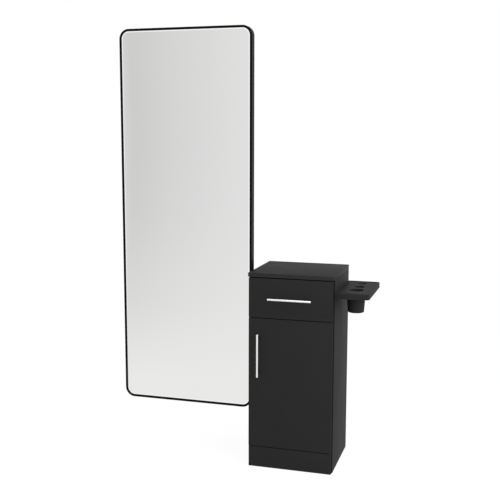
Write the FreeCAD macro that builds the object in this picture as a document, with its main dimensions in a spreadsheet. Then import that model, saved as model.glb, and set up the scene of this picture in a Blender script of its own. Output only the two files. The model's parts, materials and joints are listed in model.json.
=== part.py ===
import FreeCAD, Part
import math
import os
import Sketcher
from FreeCAD import Vector

# Salon station: a floor cabinet with a drawer, a door and a moulded tool holder,
# and a tall framed mirror with a glass on each face, bolted to the cabinet's side.
# Millimetres. +Z is up, the fronts face -Y and the tool holder is on the +X side.
# The origin is on the floor, at the centre of the cabinet and of its floor anchors.

SIZES = {
    # carcass
    "cabinet_width": 406,
    "cabinet_depth": 381,
    "cabinet_height": 940,
    "board": 19,
    "back_thickness": 12,
    "panel_lift": 2,
    "plinth_height": 102,
    "front_gap": 2,
    "front_inset": 3,
    "reveal": 3,
    "top_reveal": 4,
    "edge_bevel": 1,
    "bumper_radius": 4,
    "bumper_inset": 30,
    # clearances
    "fit_clearance": 0.1,
    "running_fit": 0.05,
    "touch_gap": 0.3,
    # knock-down fittings
    "cam_radius": 7.5,
    "cam_depth": 13,
    "cam_setback": 24,
    "cam_bolt_radius": 3.5,
    "cam_thread_radius": 2.5,
    "cam_thread_length": 11,
    "cam_inset": 80,
    # shelf and its pins
    "shelf_height": 394,
    "shelf_side_gap": 1.5,
    "shelf_setback": 18,
    "pin_radius": 2.5,
    "pin_length": 17,
    "pin_depth": 8,
    "pin_inset": 40,
    "pin_pitch": 32,
    # steel base
    "base_thickness": 30,
    "base_gap": 1,
    "anchor_radius": 6.5,
    "anchor_span_width": 260,
    "anchor_span_depth": 220,
    "angle_leg": 30,
    "angle_gauge": 3,
    "angle_end_gap": 34,
    "angle_screw_inset": 50,
    "angle_screw_rise": 18,
    # wood screws
    "screw_radius": 2,
    "screw_length": 14,
    "short_screw_length": 10,
    "long_screw_length": 27,
    "screw_head_radius": 3.6,
    "screw_head_height": 1.6,
    "sunk_head_radius": 3.6,
    "sunk_head_height": 1.6,
    # drawer
    "drawer_front_height": 187,
    "drawer_box_height": 130,
    "drawer_rear_gap": 30,
    "drawer_box_lift": 24,
    "drawer_board": 12,
    "drawer_bottom_thickness": 5,
    "drawer_bottom_rise": 10,
    "groove_depth": 6,
    "front_screw_inset": 35,
    "front_screw_rise": 30,
    # telescopic slides
    "slide_length": 300,
    "slide_height": 45.5,
    "slide_thickness": 12.7,
    "slide_channel_width": 9.6,
    "slide_gauge": 1.2,
    "slide_play": 0.4,
    "slide_lip": 3,
    "slide_shoulder": 7.4,
    "slide_step": 2.8,
    "slide_rise": 46,
    "slide_front_setback": 2,
    "slide_screw_inset": 35,
    # bar handles
    "handle_radius": 5,
    "handle_length": 205,
    "handle_chamfer": 1,
    "handle_post_spacing": 160,
    "handle_post_radius": 4,
    "handle_standoff": 28,
    "handle_thread_depth": 12,
    "handle_screw_radius": 2,
    "handle_screw_head_radius": 4,
    "handle_screw_head_height": 2.5,
    "handle_screw_end_gap": 2,
    "door_handle_inset": 50,
    "door_handle_drop": 72,
    # door pivots
    "pivot_edge_distance": 5.5,
    "pivot_depth": 6.5,
    "pivot_pin_radius": 2.5,
    "pivot_end_gap": 1,
    "bush_radius": 4,
    "bush_length": 12,
    "leaf_thickness": 2,
    "leaf_length": 58,
    "leaf_width": 10,
    "leaf_screw_inset": 8,
    "leaf_screw_pitch": 24,
    "arm_thickness": 2,
    "arm_foot_width": 30,
    "arm_foot_depth": 42,
    "arm_nose_radius": 4.5,
    "arm_side_gap": 0.5,
    "arm_screw_inset": 9,
    "arm_screw_pitch": 20,
    # door catch
    "catch_inset": 40,
    "catch_depth": 18,
    "catch_height": 14,
    "catch_overhang": 4,
    "strike_length": 34,
    "strike_height": 12,
    "strike_thickness": 1,
    # tool holder
    "holder_length": 349,
    "holder_reach": 155,
    "holder_front_setback": 31,
    "holder_drop": 79,
    "holder_wall_skirt": 29,
    "holder_outer_skirt": 26,
    "holder_wall": 3,
    "holder_corner": 12,
    "holder_edge_rounding": 2.5,
    "holder_rim_width": 9,
    "holder_rim_height": 1.5,
    "holder_recess_corner": 6,
    "holder_screw_inset": 45,
    "dryer_hole_radius": 34,
    "wand_hole_radius": 25,
    "comb_hole_radius": 20,
    "hole_offset": 78.5,
    "first_hole": 107,
    "hole_spacing": 90,
    "sleeve_wall": 2.5,
    "sleeve_depth": 16,
    "rib_thickness": 2.5,
    "rib_depth": 14,
    "boss_length": 15,
    "boss_radius": 5,
    # dryer cup
    "cup_top_radius": 45,
    "cup_bottom_radius": 38,
    "dryer_cup_height": 100,
    "dryer_cup_wall": 3,
    "dryer_cup_drain_radius": 12,
    "dryer_cup_bevel": 3,
    # mirror
    "mirror_width": 660,
    "mirror_height": 1803,
    "mirror_depth": 39,
    "mirror_bottom": 268,
    "mirror_setback": 65,
    "mirror_corner": 47,
    "frame_wall": 2,
    "frame_lip": 9,
    "lip_thickness": 1.5,
    "glass_thickness": 3,
    "glass_gap": 0.3,
    "bevel_width": 14,
    "bevel_depth": 1.2,
    "batten_width": 30,
    "block_gap": 2,
    # mirror fixing
    "mirror_bolt_radius": 4,
    "bolt_clearance": 0.3,
    "mirror_bolt_head_radius": 6.5,
    "mirror_bolt_head_height": 5,
    "mirror_bolt_rise": 5,
    "mirror_bolt_pitch": 105,
    "washer_radius": 12,
    "washer_thickness": 2,
    "clamp_bar_width": 24,
    "clamp_bar_thickness": 8,
    "clamp_bar_overhang": 30,
}

MIRROR_BOLTS = 4
CROSS_RAILS = 3
HOLDER_SCREWS = 4
PIN_STEPS = (-2, -1, 0, 1, 2)
FITTING_SIDES = 6
WASHER_SIDES = 12
MOULDED_SIDES = 32

QUARTER = math.pi / 2
SUNK_ANGLE = -45
DIGITS = 6
TOLERANCE = 0.001
CUT_VOLUME = 0.01


class Size:
    """A number of millimetres together with the spreadsheet expression that it comes from."""

    def __init__(self, value, text):
        self.value = float(value)
        self.text = text

    def __add__(self, other):
        other = size(other)
        return Size(self.value + other.value, f"({self.text} + {other.text})")

    def __sub__(self, other):
        other = size(other)
        return Size(self.value - other.value, f"({self.text} - {other.text})")

    def __mul__(self, other):
        other = size(other)
        return Size(self.value * other.value, f"({self.text} * {other.text})")

    def __truediv__(self, other):
        other = size(other)
        return Size(self.value / other.value, f"({self.text} / {other.text})")

    def __radd__(self, other):
        return size(other) + self

    def __rsub__(self, other):
        return size(other) - self

    def __rmul__(self, other):
        return size(other) * self

    def __neg__(self):
        return Size(-self.value, f"(-1 * {self.text})")


def size(number):
    """A plain number as a Size, or a Size as it is."""
    return number if isinstance(number, Size) else Size(number, f"{number:g}")


class Sheet:
    """The spreadsheet of driving dimensions, read as attributes."""

    def __init__(self, doc, table):
        self.sheet = doc.addObject("Spreadsheet::Sheet", "Sizes")
        for row, (alias, value) in enumerate(table.items(), start=1):
            self.sheet.set(f"A{row}", alias)
            self.sheet.set(f"B{row}", str(value))
            self.sheet.setAlias(f"B{row}", alias)
            setattr(self, alias, Size(value, f"Sizes.{alias}"))
        doc.recompute()


doc = FreeCAD.newDocument("salon_station")
mm = Sheet(doc, SIZES)


# ---------------------------------------------------------------------------
# Outlines: each returns a function that draws itself in a sketch, every point
# and radius bound to the sheet. shift(u, v) takes a point to the body's frame.
# ---------------------------------------------------------------------------


def bind(thing, path, amount):
    """Drive a property or constraint from the spreadsheet."""
    thing.setExpression(path, size(amount).text)


def fix(sketch, kind, *where):
    """Add a datum constraint; the last argument is its Size."""
    amount = size(where[-1])
    index = sketch.addConstraint(Sketcher.Constraint(kind, *where[:-1], amount.value))
    bind(sketch, f"Constraints[{index}]", amount)


def place_point(sketch, geometry, point, u, v):
    """Dimension a point of the sketch from its origin."""
    fix(sketch, "DistanceX", -1, 1, geometry, point, u)
    fix(sketch, "DistanceY", -1, 1, geometry, point, v)


def polygon(*points):
    """A closed outline of straight edges through the points."""

    def draw(sketch, shift):
        corners = [shift(u, v) for u, v in points]
        spots = [Vector(u.value, v.value, 0) for u, v in corners]
        first = sketch.GeometryCount
        count = len(spots)
        for i, spot in enumerate(spots):
            sketch.addGeometry(Part.LineSegment(spot, spots[(i + 1) % count]), False)
        for i, (u, v) in enumerate(corners):
            after = first + (i + 1) % count
            sketch.addConstraint(Sketcher.Constraint("Coincident", first + i, 2, after, 1))
            place_point(sketch, first + i, 1, u, v)

    return draw


def rectangle(u0, u1, v0, v1):
    return polygon((u0, v0), (u1, v0), (u1, v1), (u0, v1))


def rounded_rectangle(u0, u1, v0, v1, radius):
    """A rectangle whose four corners are arcs."""

    def draw(sketch, shift):
        left, low = shift(u0, v0)
        right, high = shift(u1, v1)
        r = size(radius)
        centres = [(right - r, low + r), (right - r, high - r), (left + r, high - r), (left + r, low + r)]
        first = sketch.GeometryCount
        for i, (u, v) in enumerate(centres):
            circle = Part.Circle(Vector(u.value, v.value, 0), Vector(0, 0, 1), r.value)
            sketch.addGeometry(Part.ArcOfCircle(circle, (i - 1) * QUARTER, i * QUARTER), False)
        arcs = [sketch.Geometry[first + i] for i in range(4)]
        for i, arc in enumerate(arcs):
            sketch.addGeometry(Part.LineSegment(arc.EndPoint, arcs[(i + 1) % 4].StartPoint), False)
        for i in range(4):
            line = first + 4 + i
            sketch.addConstraint(Sketcher.Constraint("Tangent", first + i, 2, line, 1))
            sketch.addConstraint(Sketcher.Constraint("Tangent", line, 2, first + (i + 1) % 4, 1))
            level = "Horizontal" if i % 2 else "Vertical"
            sketch.addConstraint(Sketcher.Constraint(level, line))
            if i:
                sketch.addConstraint(Sketcher.Constraint("Equal", first, first + i))
        fix(sketch, "Radius", first, r)
        fix(sketch, "DistanceX", -1, 1, first + 4, 1, right)
        fix(sketch, "DistanceY", -1, 1, first + 5, 1, high)
        fix(sketch, "DistanceX", -1, 1, first + 6, 1, left)
        fix(sketch, "DistanceY", -1, 1, first + 7, 1, low)

    return draw


def circles(centres, radius):
    """One circle of the same radius at each centre."""

    def draw(sketch, shift):
        for centre in centres:
            u, v = shift(*centre)
            circle = Part.Circle(Vector(u.value, v.value, 0), Vector(0, 0, 1), size(radius).value)
            index = sketch.addGeometry(circle, False)
            fix(sketch, "Radius", index, radius)
            place_point(sketch, index, 3, u, v)

    return draw


def together(*outlines):
    """Several outlines in one sketch: an inner one is a hole in the outer one."""

    def draw(sketch, shift):
        for outline in outlines:
            outline(sketch, shift)

    return draw


def many_sided(centres, radius, sides=FITTING_SIDES):
    """A regular outline at each centre, which has fewer faces than a circle."""
    turns = [2 * math.pi * (i + 0.5) / sides for i in range(sides)]
    rays = [(round(math.cos(turn), DIGITS), round(math.sin(turn), DIGITS)) for turn in turns]
    outlines = [polygon(*[(u + radius * across, v + radius * up) for across, up in rays]) for u, v in centres]
    return together(*outlines)


# ---------------------------------------------------------------------------
# Pieces
# ---------------------------------------------------------------------------

# the origin plane across each axis, and the one axis that its plane's normal points against
PLANES = {"X": "YZ", "Y": "XZ", "Z": "XY"}
AGAINST = "Y"
PIECES = []


class Piece:
    """A sub-part: a PartDesign body with its own placement and its features in order."""

    def __init__(self, name, x=0, y=0, z=0):
        self.name = name
        self.origin = {"X": size(x), "Y": size(y), "Z": size(z)}
        self.body = doc.addObject("PartDesign::Body", name)
        self.body.Label = name
        for axis, amount in self.origin.items():
            bind(self.body, f"Placement.Base.{axis.lower()}", amount)
        PIECES.append(self)

    def sketch(self, axis, level, outline):
        """A sketch across the axis, at that height along it."""
        u, v = PLANES[axis]
        plane = next(o for o in self.body.Origin.OriginFeatures if o.Role == f"{u}{v}_Plane")
        sketch = self.body.newObject("Sketcher::SketchObject", f"{self.name}_sketch")
        sketch.AttachmentSupport = (plane, "")
        sketch.MapMode = "FlatFace"
        height = size(level) - self.origin[axis]
        bind(sketch, "AttachmentOffset.Base.z", -height if axis == AGAINST else height)
        outline(sketch, lambda a, b: (size(a) - self.origin[u], size(b) - self.origin[v]))
        return sketch

    def pad(self, axis, start, end, outline, taper=0):
        """Material from start to end along the axis."""
        forward = size(end).value > size(start).value
        feature = self.extrude("PartDesign::Pad", axis, start, end, outline, taper)
        feature.Reversed = forward == (axis == AGAINST)

    def cut(self, axis, start, end, outline, taper=0):
        """An opening from start to end along the axis."""
        forward = size(end).value > size(start).value
        feature = self.extrude("PartDesign::Pocket", axis, start, end, outline, taper)
        feature.Reversed = forward != (axis == AGAINST)

    def extrude(self, kind, axis, start, end, outline, taper):
        """A pad or a pocket, as long as the two levels are apart."""
        low, high = sorted((size(start), size(end)), key=lambda level: level.value)
        sketch = self.sketch(axis, start, outline)
        feature = self.body.newObject(kind, f"{self.name}_{kind[12:].lower()}")
        feature.Profile = sketch
        feature.TaperAngle = taper
        bind(feature, "Length", high - low)
        return feature

    def loft(self, kind, *sections):
        """Straight walls through two or more outlines, each given as its height and its outline."""
        profile, *others = [self.sketch("Z", level, outline) for level, outline in sections]
        feature = self.body.newObject(f"PartDesign::{kind}Loft", f"{self.name}_loft")
        feature.Profile = profile
        feature.Sections = others
        feature.Ruled = True

    def edges(self, test):
        """The names of the edges so far that pass the test, which sees them in the part's frame."""
        doc.recompute()
        found = enumerate(self.body.Shape.Edges, start=1)
        return [f"Edge{number}" for number, edge in found if test(edge)]

    def fillet(self, radius, test):
        """Round the edges that pass the test."""
        names = self.edges(test)
        feature = self.body.newObject("PartDesign::Fillet", f"{self.name}_fillet")
        feature.Base = (feature.BaseFeature, names)
        bind(feature, "Radius", radius)

    def chamfer(self, across, down, test):
        """Bevel the edges that pass the test."""
        names = self.edges(test)
        feature = self.body.newObject("PartDesign::Chamfer", f"{self.name}_chamfer")
        feature.Base = (feature.BaseFeature, names)
        feature.ChamferType = "Two distances"
        feature.FlipDirection = True
        bind(feature, "Size", across)
        bind(feature, "Size2", down)

    def bevel(self, test):
        """Ease the edges of a board that pass the test."""
        self.chamfer(mm.edge_bevel, mm.edge_bevel, test)


# ---------------------------------------------------------------------------
# Planes and levels that several pieces share
# ---------------------------------------------------------------------------

left = -mm.cabinet_width / 2
right = mm.cabinet_width / 2
front = -mm.cabinet_depth / 2
rear = mm.cabinet_depth / 2

carcass_front = front + mm.board + mm.front_gap
back_face = rear - mm.back_thickness
inner_left = left + mm.board
inner_right = right - mm.board
top_under = mm.cabinet_height - mm.board

# the tool holder hangs on the right side, a little under the top
holder_top = mm.cabinet_height - mm.holder_drop

# the overlay fronts: drawer front, door and plinth board, one under the other
front_left = left + mm.front_inset
front_right = right - mm.front_inset
front_rear = front + mm.board
drawer_front_top = top_under - mm.top_reveal
drawer_front_bottom = drawer_front_top - mm.drawer_front_height
door_top = drawer_front_bottom - mm.reveal
door_bottom = mm.plinth_height + mm.reveal

# the pivot arms lie half-way in the reveals over and under the door, so the
# boards that carry them are level with the arms' outer faces
arm_clearance = (mm.reveal - mm.arm_thickness) / 2
divider_under = drawer_front_bottom - arm_clearance
floor_top = mm.plinth_height + arm_clearance
floor_under = floor_top - mm.board

# each side of the carcass: -1 on the left and +1 on the right, its outer and inner face
SIDES = ((-1, left, inner_left), (1, right, inner_right))

# ---------------------------------------------------------------------------
# Centres of fittings, which the boards are drilled for and the fittings stand on
# ---------------------------------------------------------------------------

# cams that draw the boards together: a row near the front and one near the back
cam_rows = [carcass_front + mm.cam_inset, back_face - mm.cam_inset]
top_cam_level = top_under - mm.cam_setback
top_cams = [(row, top_cam_level) for row in cam_rows]
board_cams = [(inner - mm.cam_setback * side, row) for side, _, inner in SIDES for row in cam_rows]
board_bolts = [(row, under + mm.board / 2) for under in (floor_under, divider_under) for row in cam_rows]
top_bolts = {side: [(inner + mm.board / 2 * side, row) for row in cam_rows] for side, _, inner in SIDES}

# shelf pins: one in use under each corner of the shelf, and spare holes over and under it
pin_rows = [carcass_front + mm.pin_inset, back_face - mm.pin_inset]
pin_level = mm.shelf_height - mm.pin_radius
shelf_pins = [(row, pin_level) for row in pin_rows]
pin_holes = [(row, pin_level + mm.pin_pitch * step) for row in pin_rows for step in PIN_STEPS]

# telescopic slides
slide_front = carcass_front + mm.slide_front_setback
slide_rear = slide_front + mm.slide_length
box_bottom = drawer_front_bottom + mm.drawer_box_lift
box_top = box_bottom + mm.drawer_box_height
slide_centre = box_bottom + mm.slide_rise
slide_rows = (slide_front + mm.slide_screw_inset, slide_rear - mm.slide_screw_inset)
slide_screws = [(row, slide_centre) for row in slide_rows]

# steel base
angle_front = carcass_front + mm.angle_end_gap
angle_rear = back_face - mm.angle_end_gap
angle_screw_level = mm.base_thickness + mm.angle_screw_rise
angle_rows = (angle_front + mm.angle_screw_inset, angle_rear - mm.angle_screw_inset)
angle_screws = [(row, angle_screw_level) for row in angle_rows]
anchors = [(mm.anchor_span_width / 2 * i, mm.anchor_span_depth / 2 * j) for i in (-1, 1) for j in (-1, 1)]

# mirror bolts, through the left side of the carcass
mirror_front = front + mm.mirror_setback
mirror_rear = mirror_front + mm.mirror_depth
mirror_middle = mirror_front + mm.mirror_depth / 2
clamp_bar_bottom = mm.mirror_bottom + mm.mirror_corner + mm.mirror_bolt_rise
first_bolt = clamp_bar_bottom + mm.clamp_bar_overhang
mirror_bolts = [(mirror_middle, first_bolt + mm.mirror_bolt_pitch * i) for i in range(MIRROR_BOLTS)]

# tool holder screws, through the right side of the carcass
holder_front = front + mm.holder_front_setback
holder_rear = holder_front + mm.holder_length
holder_screw_level = holder_top - mm.holder_wall_skirt / 2
holder_screw_pitch = (mm.holder_length - mm.holder_screw_inset * 2) / (HOLDER_SCREWS - 1)
holder_screws = [
    (holder_front + mm.holder_screw_inset + holder_screw_pitch * i, holder_screw_level)
    for i in range(HOLDER_SCREWS)
]

# the door's pivot, near its front right corner
pivot_x = front_right - mm.pivot_edge_distance
pivot_y = front + mm.pivot_depth
pivot = [(pivot_x, pivot_y)]

# the feet of the pivot arms, in the corner behind the right side's front edge
arm_right = inner_right - mm.arm_side_gap
arm_left = arm_right - mm.arm_foot_width
arm_rear = carcass_front + mm.arm_foot_depth
arm_screw_x = (arm_left + arm_right) / 2
arm_screws = [(arm_screw_x, arm_rear - mm.arm_screw_inset - mm.arm_screw_pitch * i) for i in range(2)]

# handles
handle_y = front - mm.handle_standoff
drawer_handle_x = (front_left + front_right) / 2
drawer_handle_z = (drawer_front_bottom + drawer_front_top) / 2
door_handle_x = front_left + mm.door_handle_inset
door_handle_z = door_top - mm.door_handle_drop - mm.handle_length / 2
half_span = mm.handle_post_spacing / 2
drawer_posts = [(drawer_handle_x + half_span * i, drawer_handle_z) for i in (-1, 1)]
door_posts = [(door_handle_x, door_handle_z + half_span * i) for i in (-1, 1)]

screw_hole = mm.screw_radius + mm.fit_clearance
handle_hole = mm.handle_screw_radius + mm.fit_clearance
bolt_hole = mm.mirror_bolt_radius + mm.bolt_clearance


def on_plane(edge, axis, level):
    """True where the whole edge lies at that level along the axis."""
    box = edge.BoundBox
    low, high = getattr(box, axis + "Min"), getattr(box, axis + "Max")
    return abs(low - level.value) < TOLERANCE and abs(high - level.value) < TOLERANCE


# ---------------------------------------------------------------------------
# Carcass
# ---------------------------------------------------------------------------


def side_panel(name, side, outer, inner):
    """A side of the carcass, drilled for the fittings of its own side."""
    panel = Piece(name, outer, carcass_front, mm.panel_lift)
    panel.pad("X", outer, inner, rectangle(carcass_front, rear, mm.panel_lift, top_under))
    pin_hole = mm.pin_radius + mm.fit_clearance
    panel.cut("X", inner, inner + mm.pin_depth * side, many_sided(pin_holes, pin_hole))
    screws = slide_screws + angle_screws
    panel.cut("X", inner, inner + mm.screw_length * side, many_sided(screws, screw_hole))
    thread_hole = mm.cam_thread_radius + mm.fit_clearance
    panel.cut("X", inner, inner + mm.cam_thread_length * side, many_sided(board_bolts, thread_hole))
    panel.cut("X", inner, inner + mm.cam_depth * side, many_sided(top_cams, mm.cam_radius + mm.fit_clearance))
    bolt_bore = mm.cam_bolt_radius + mm.fit_clearance
    panel.cut("Z", top_under, top_cam_level, many_sided(top_bolts[side], bolt_bore))
    return panel


def fixed_board(name, under):
    """A board between the sides, with a cam near each corner of its underside."""
    board = Piece(name, inner_left, carcass_front, under)
    outline = rectangle(inner_left, inner_right, carcass_front, back_face)
    board.pad("Z", under, under + mm.board, outline)
    board.cut("Z", under, under + mm.cam_depth, many_sided(board_cams, mm.cam_radius + mm.fit_clearance))
    bolts = [(row, under + mm.board / 2) for row in cam_rows]
    for side, _, inner in SIDES:
        end = inner - mm.cam_setback * side
        board.cut("X", inner, end, many_sided(bolts, mm.cam_bolt_radius + mm.fit_clearance))
    return board


def carcass():
    left_side = side_panel("left_side_panel", *SIDES[0])
    left_side.cut("X", left, inner_left, many_sided(mirror_bolts, bolt_hole))
    right_side = side_panel("right_side_panel", *SIDES[1])
    right_side.cut("X", inner_right, right, many_sided(holder_screws, screw_hole))

    top = Piece("top_board", left, front, top_under)
    top.pad("Z", top_under, mm.cabinet_height, rectangle(left, right, front, rear))
    thread_hole = mm.cam_thread_radius + mm.fit_clearance
    bolts = top_bolts[-1] + top_bolts[1]
    top.cut("Z", top_under, top_under + mm.cam_thread_length, many_sided(bolts, thread_hole))
    top.bevel(lambda edge: on_plane(edge, "Z", mm.cabinet_height))

    arm_screw_depth = mm.screw_length - mm.arm_thickness
    floor = fixed_board("bottom_board", floor_under)
    floor.cut("Z", floor_top, floor_top - arm_screw_depth, many_sided(arm_screws, screw_hole))
    divider = fixed_board("divider_board", divider_under)
    divider.cut("Z", divider_under, divider_under + arm_screw_depth, many_sided(arm_screws, screw_hole))

    back = Piece("back_panel", inner_left, back_face, mm.panel_lift)
    back.pad("Y", back_face, rear, rectangle(inner_left, inner_right, mm.panel_lift, top_under))

    plinth = Piece("plinth_board", front_left, front + mm.front_gap, mm.panel_lift)
    outline = rectangle(front_left, front_right, mm.panel_lift, mm.plinth_height)
    plinth.pad("Y", front + mm.front_gap, carcass_front, outline)
    plinth.bevel(lambda edge: on_plane(edge, "Y", front + mm.front_gap))


def shelf_and_pins():
    """The loose shelf rests on four pins, one end of each in a hole of the sides."""
    shelf_left = inner_left + mm.shelf_side_gap
    shelf_right = inner_right - mm.shelf_side_gap
    shelf_front = carcass_front + mm.shelf_setback
    shelf_rear = back_face - mm.shelf_side_gap
    shelf = Piece("adjustable_shelf", shelf_left, shelf_front, mm.shelf_height)
    outline = rectangle(shelf_left, shelf_right, shelf_front, shelf_rear)
    shelf.pad("Z", mm.shelf_height, mm.shelf_height + mm.board, outline)

    pins = Piece("shelf_pins", inner_left - mm.pin_depth, pin_rows[0], pin_level)
    for side, _, inner in SIDES:
        deep = inner + mm.pin_depth * side
        pins.pad("X", deep, deep - mm.pin_length * side, many_sided(shelf_pins, mm.pin_radius))


def cams():
    """Round cams in blind holes, and the bolts whose heads they hold."""
    locks = Piece("cam_locks", board_cams[0][0], board_cams[0][1], floor_under)
    rods = Piece("cam_bolts", inner_left, board_cams[0][1], floor_under + mm.board / 2)
    head_hole = mm.cam_bolt_radius + mm.fit_clearance
    reach = mm.cam_setback + mm.cam_bolt_radius
    thread = mm.cam_thread_length
    for under in (floor_under, divider_under):
        locks.pad("Z", under, under + mm.cam_depth, many_sided(board_cams, mm.cam_radius))
    for side, _, inner in SIDES:
        locks.pad("X", inner, inner + mm.cam_depth * side, many_sided(top_cams, mm.cam_radius))
    for side, _, inner in SIDES:
        end = inner - reach * side
        locks.cut("X", inner, end, many_sided(board_bolts, head_hole))
        locks.cut("Z", top_under, top_under - reach, many_sided(top_bolts[side], head_hole))
        rods.pad("X", inner, end, many_sided(board_bolts, mm.cam_bolt_radius))
        rods.pad("X", inner, inner + thread * side, many_sided(board_bolts, mm.cam_thread_radius))
        rods.pad("Z", top_under, top_under - reach, many_sided(top_bolts[side], mm.cam_bolt_radius))
        rods.pad("Z", top_under, top_under + thread, many_sided(top_bolts[side], mm.cam_thread_radius))


def first_place(axis, face, centres):
    """Where the first fastener of a row stands."""
    place = list(centres[0])
    place.insert("XYZ".index(axis), face)
    return place


def fasteners(name, shank, head, height, *rows):
    """Identical fasteners. A row is the axis, the face under the heads, the tips' level and the centres."""
    piece = Piece(name, *first_place(rows[0][0], rows[0][1], rows[0][3]))
    for axis, face, tip, centres in rows:
        away = 1 if tip.value < face.value else -1
        piece.pad(axis, face, tip, many_sided(centres, shank))
        piece.pad(axis, face, face + height * away, many_sided(centres, head))


def wood_screws(name, *rows):
    """Round-headed wood screws, in the same rows."""
    fasteners(name, mm.screw_radius, mm.screw_head_radius, mm.screw_head_height, *rows)


def countersunk_screws(name, *rows):
    """Screws whose heads lie flush in the piece that they hold, in the same rows."""
    piece = Piece(name, *first_place(rows[0][0], rows[0][1], rows[0][3]))
    for axis, face, tip, centres in rows:
        into = 1 if tip.value > face.value else -1
        sunk = face + mm.sunk_head_height * into
        piece.pad(axis, face, sunk, many_sided(centres, mm.sunk_head_radius), SUNK_ANGLE)
        piece.pad(axis, face, tip, many_sided(centres, mm.screw_radius))


def countersink(piece, axis, face, far, centres):
    """Holes for countersunk screws from face to far."""
    into = 1 if far.value > face.value else -1
    sunk = face + mm.sunk_head_height * into
    piece.cut(axis, face, sunk, many_sided(centres, mm.sunk_head_radius + mm.fit_clearance), SUNK_ANGLE)
    piece.cut(axis, face, far, many_sided(centres, screw_hole))


# ---------------------------------------------------------------------------
# Steel base: the only piece that stands on the floor
# ---------------------------------------------------------------------------


def steel_base():
    plate_left = inner_left + mm.base_gap
    plate_right = inner_right - mm.base_gap
    plate_front = carcass_front + mm.base_gap
    plate_rear = back_face - mm.base_gap
    plate = Piece("base_plate", plate_left, plate_front, 0)
    plate.pad("Z", 0, mm.base_thickness, rectangle(plate_left, plate_right, plate_front, plate_rear))
    plate.cut("Z", 0, mm.base_thickness, circles(anchors, mm.anchor_radius))

    # an angle along each side, standing on the plate with its upright leg against the panel
    angles = Piece("base_angles", inner_left, angle_front, mm.base_thickness)
    low = mm.base_thickness
    for side, _, inner in SIDES:
        thin = inner - mm.angle_gauge * side
        wide = inner - mm.angle_leg * side
        tall = low + mm.angle_leg
        profile = [(inner, low), (wide, low), (wide, low + mm.angle_gauge)]
        profile += [(thin, low + mm.angle_gauge), (thin, tall), (inner, tall)]
        angles.pad("Y", angle_front, angle_rear, polygon(*profile))
        angles.cut("X", inner, thin, many_sided(angle_screws, screw_hole))

    rows = []
    for side, _, inner in SIDES:
        face = inner - mm.angle_gauge * side
        rows.append(("X", face, face + mm.screw_length * side, angle_screws))
    wood_screws("base_screws", *rows)


def bumpers():
    """Soft dots on the carcass that the fronts close against."""
    middle_left = left + mm.board / 2
    middle_right = right - mm.board / 2
    spots = [(middle_left, door_bottom + mm.bumper_inset), (middle_left, door_top - mm.bumper_inset)]
    spots += [(x, drawer_front_top - mm.bumper_inset) for x in (middle_left, middle_right)]
    dots = Piece("front_bumpers", spots[0][0], carcass_front, spots[0][1])
    dots.pad("Y", carcass_front, front_rear + mm.touch_gap, many_sided(spots, mm.bumper_radius))


# ---------------------------------------------------------------------------
# Drawer
# ---------------------------------------------------------------------------

box_left = inner_left + mm.slide_thickness
box_right = inner_right - mm.slide_thickness
box_rear = back_face - mm.drawer_rear_gap
inner_front_face = front_rear + mm.drawer_board
bottom_level = box_bottom + mm.drawer_bottom_rise
groove_top = bottom_level + mm.drawer_bottom_thickness + mm.fit_clearance
front_screws = [
    (x, z)
    for x in (box_left + mm.front_screw_inset, box_right - mm.front_screw_inset)
    for z in (box_bottom + mm.front_screw_rise, box_top - mm.front_screw_rise)
]


def drawer_boards():
    face = Piece("drawer_front", front_left, front, drawer_front_bottom)
    outline = rectangle(front_left, front_right, drawer_front_bottom, drawer_front_top)
    face.pad("Y", front, front_rear, outline)
    face.bevel(lambda edge: on_plane(edge, "Y", front))
    depth = front_rear - (mm.long_screw_length - mm.drawer_board)
    face.cut("Y", front_rear, depth, many_sided(front_screws, screw_hole))
    face.cut("Y", front_rear, front, many_sided(drawer_posts, handle_hole))

    inner_front = Piece("drawer_inner_front", box_left + mm.drawer_board, front_rear, box_bottom)
    outline = rectangle(box_left + mm.drawer_board, box_right - mm.drawer_board, box_bottom, box_top)
    inner_front.pad("Y", front_rear, inner_front_face, outline)
    inner_front.cut("Y", front_rear, inner_front_face, many_sided(front_screws, screw_hole))
    inner_front.cut("Y", front_rear, inner_front_face, many_sided(drawer_posts, handle_hole))
    groove = rectangle(box_left + mm.drawer_board, box_right - mm.drawer_board, bottom_level, groove_top)
    inner_front.cut("Y", inner_front_face, inner_front_face - mm.groove_depth, groove)

    for side, name, outer in ((-1, "drawer_left_side", box_left), (1, "drawer_right_side", box_right)):
        inner = outer - mm.drawer_board * side
        wall = Piece(name, outer, front_rear, box_bottom)
        wall.pad("X", outer, inner, rectangle(front_rear, box_rear, box_bottom, box_top))
        groove = rectangle(inner_front_face - mm.groove_depth, box_rear, bottom_level, groove_top)
        wall.cut("X", inner, inner + mm.groove_depth * side, groove)
        depth = mm.short_screw_length - mm.slide_gauge + mm.fit_clearance
        wall.cut("X", outer, outer - depth * side, many_sided(slide_screws, screw_hole))

    # the back stands on the bottom, which slides in beneath it
    back = Piece("drawer_back", box_left + mm.drawer_board, box_rear - mm.drawer_board, groove_top)
    outline = rectangle(box_left + mm.drawer_board, box_right - mm.drawer_board, groove_top, box_top)
    back.pad("Y", box_rear - mm.drawer_board, box_rear, outline)

    tongue = mm.groove_depth - mm.fit_clearance
    bottom_left = box_left + mm.drawer_board - tongue
    bottom_right = box_right - mm.drawer_board + tongue
    bottom = Piece("drawer_bottom", bottom_left, inner_front_face - tongue, bottom_level)
    outline = rectangle(bottom_left, bottom_right, inner_front_face - tongue, box_rear)
    bottom.pad("Z", bottom_level, bottom_level + mm.drawer_bottom_thickness, outline)

    tip = inner_front_face - mm.long_screw_length
    wood_screws("drawer_front_screws", ("Y", inner_front_face, tip, front_screws))


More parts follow.
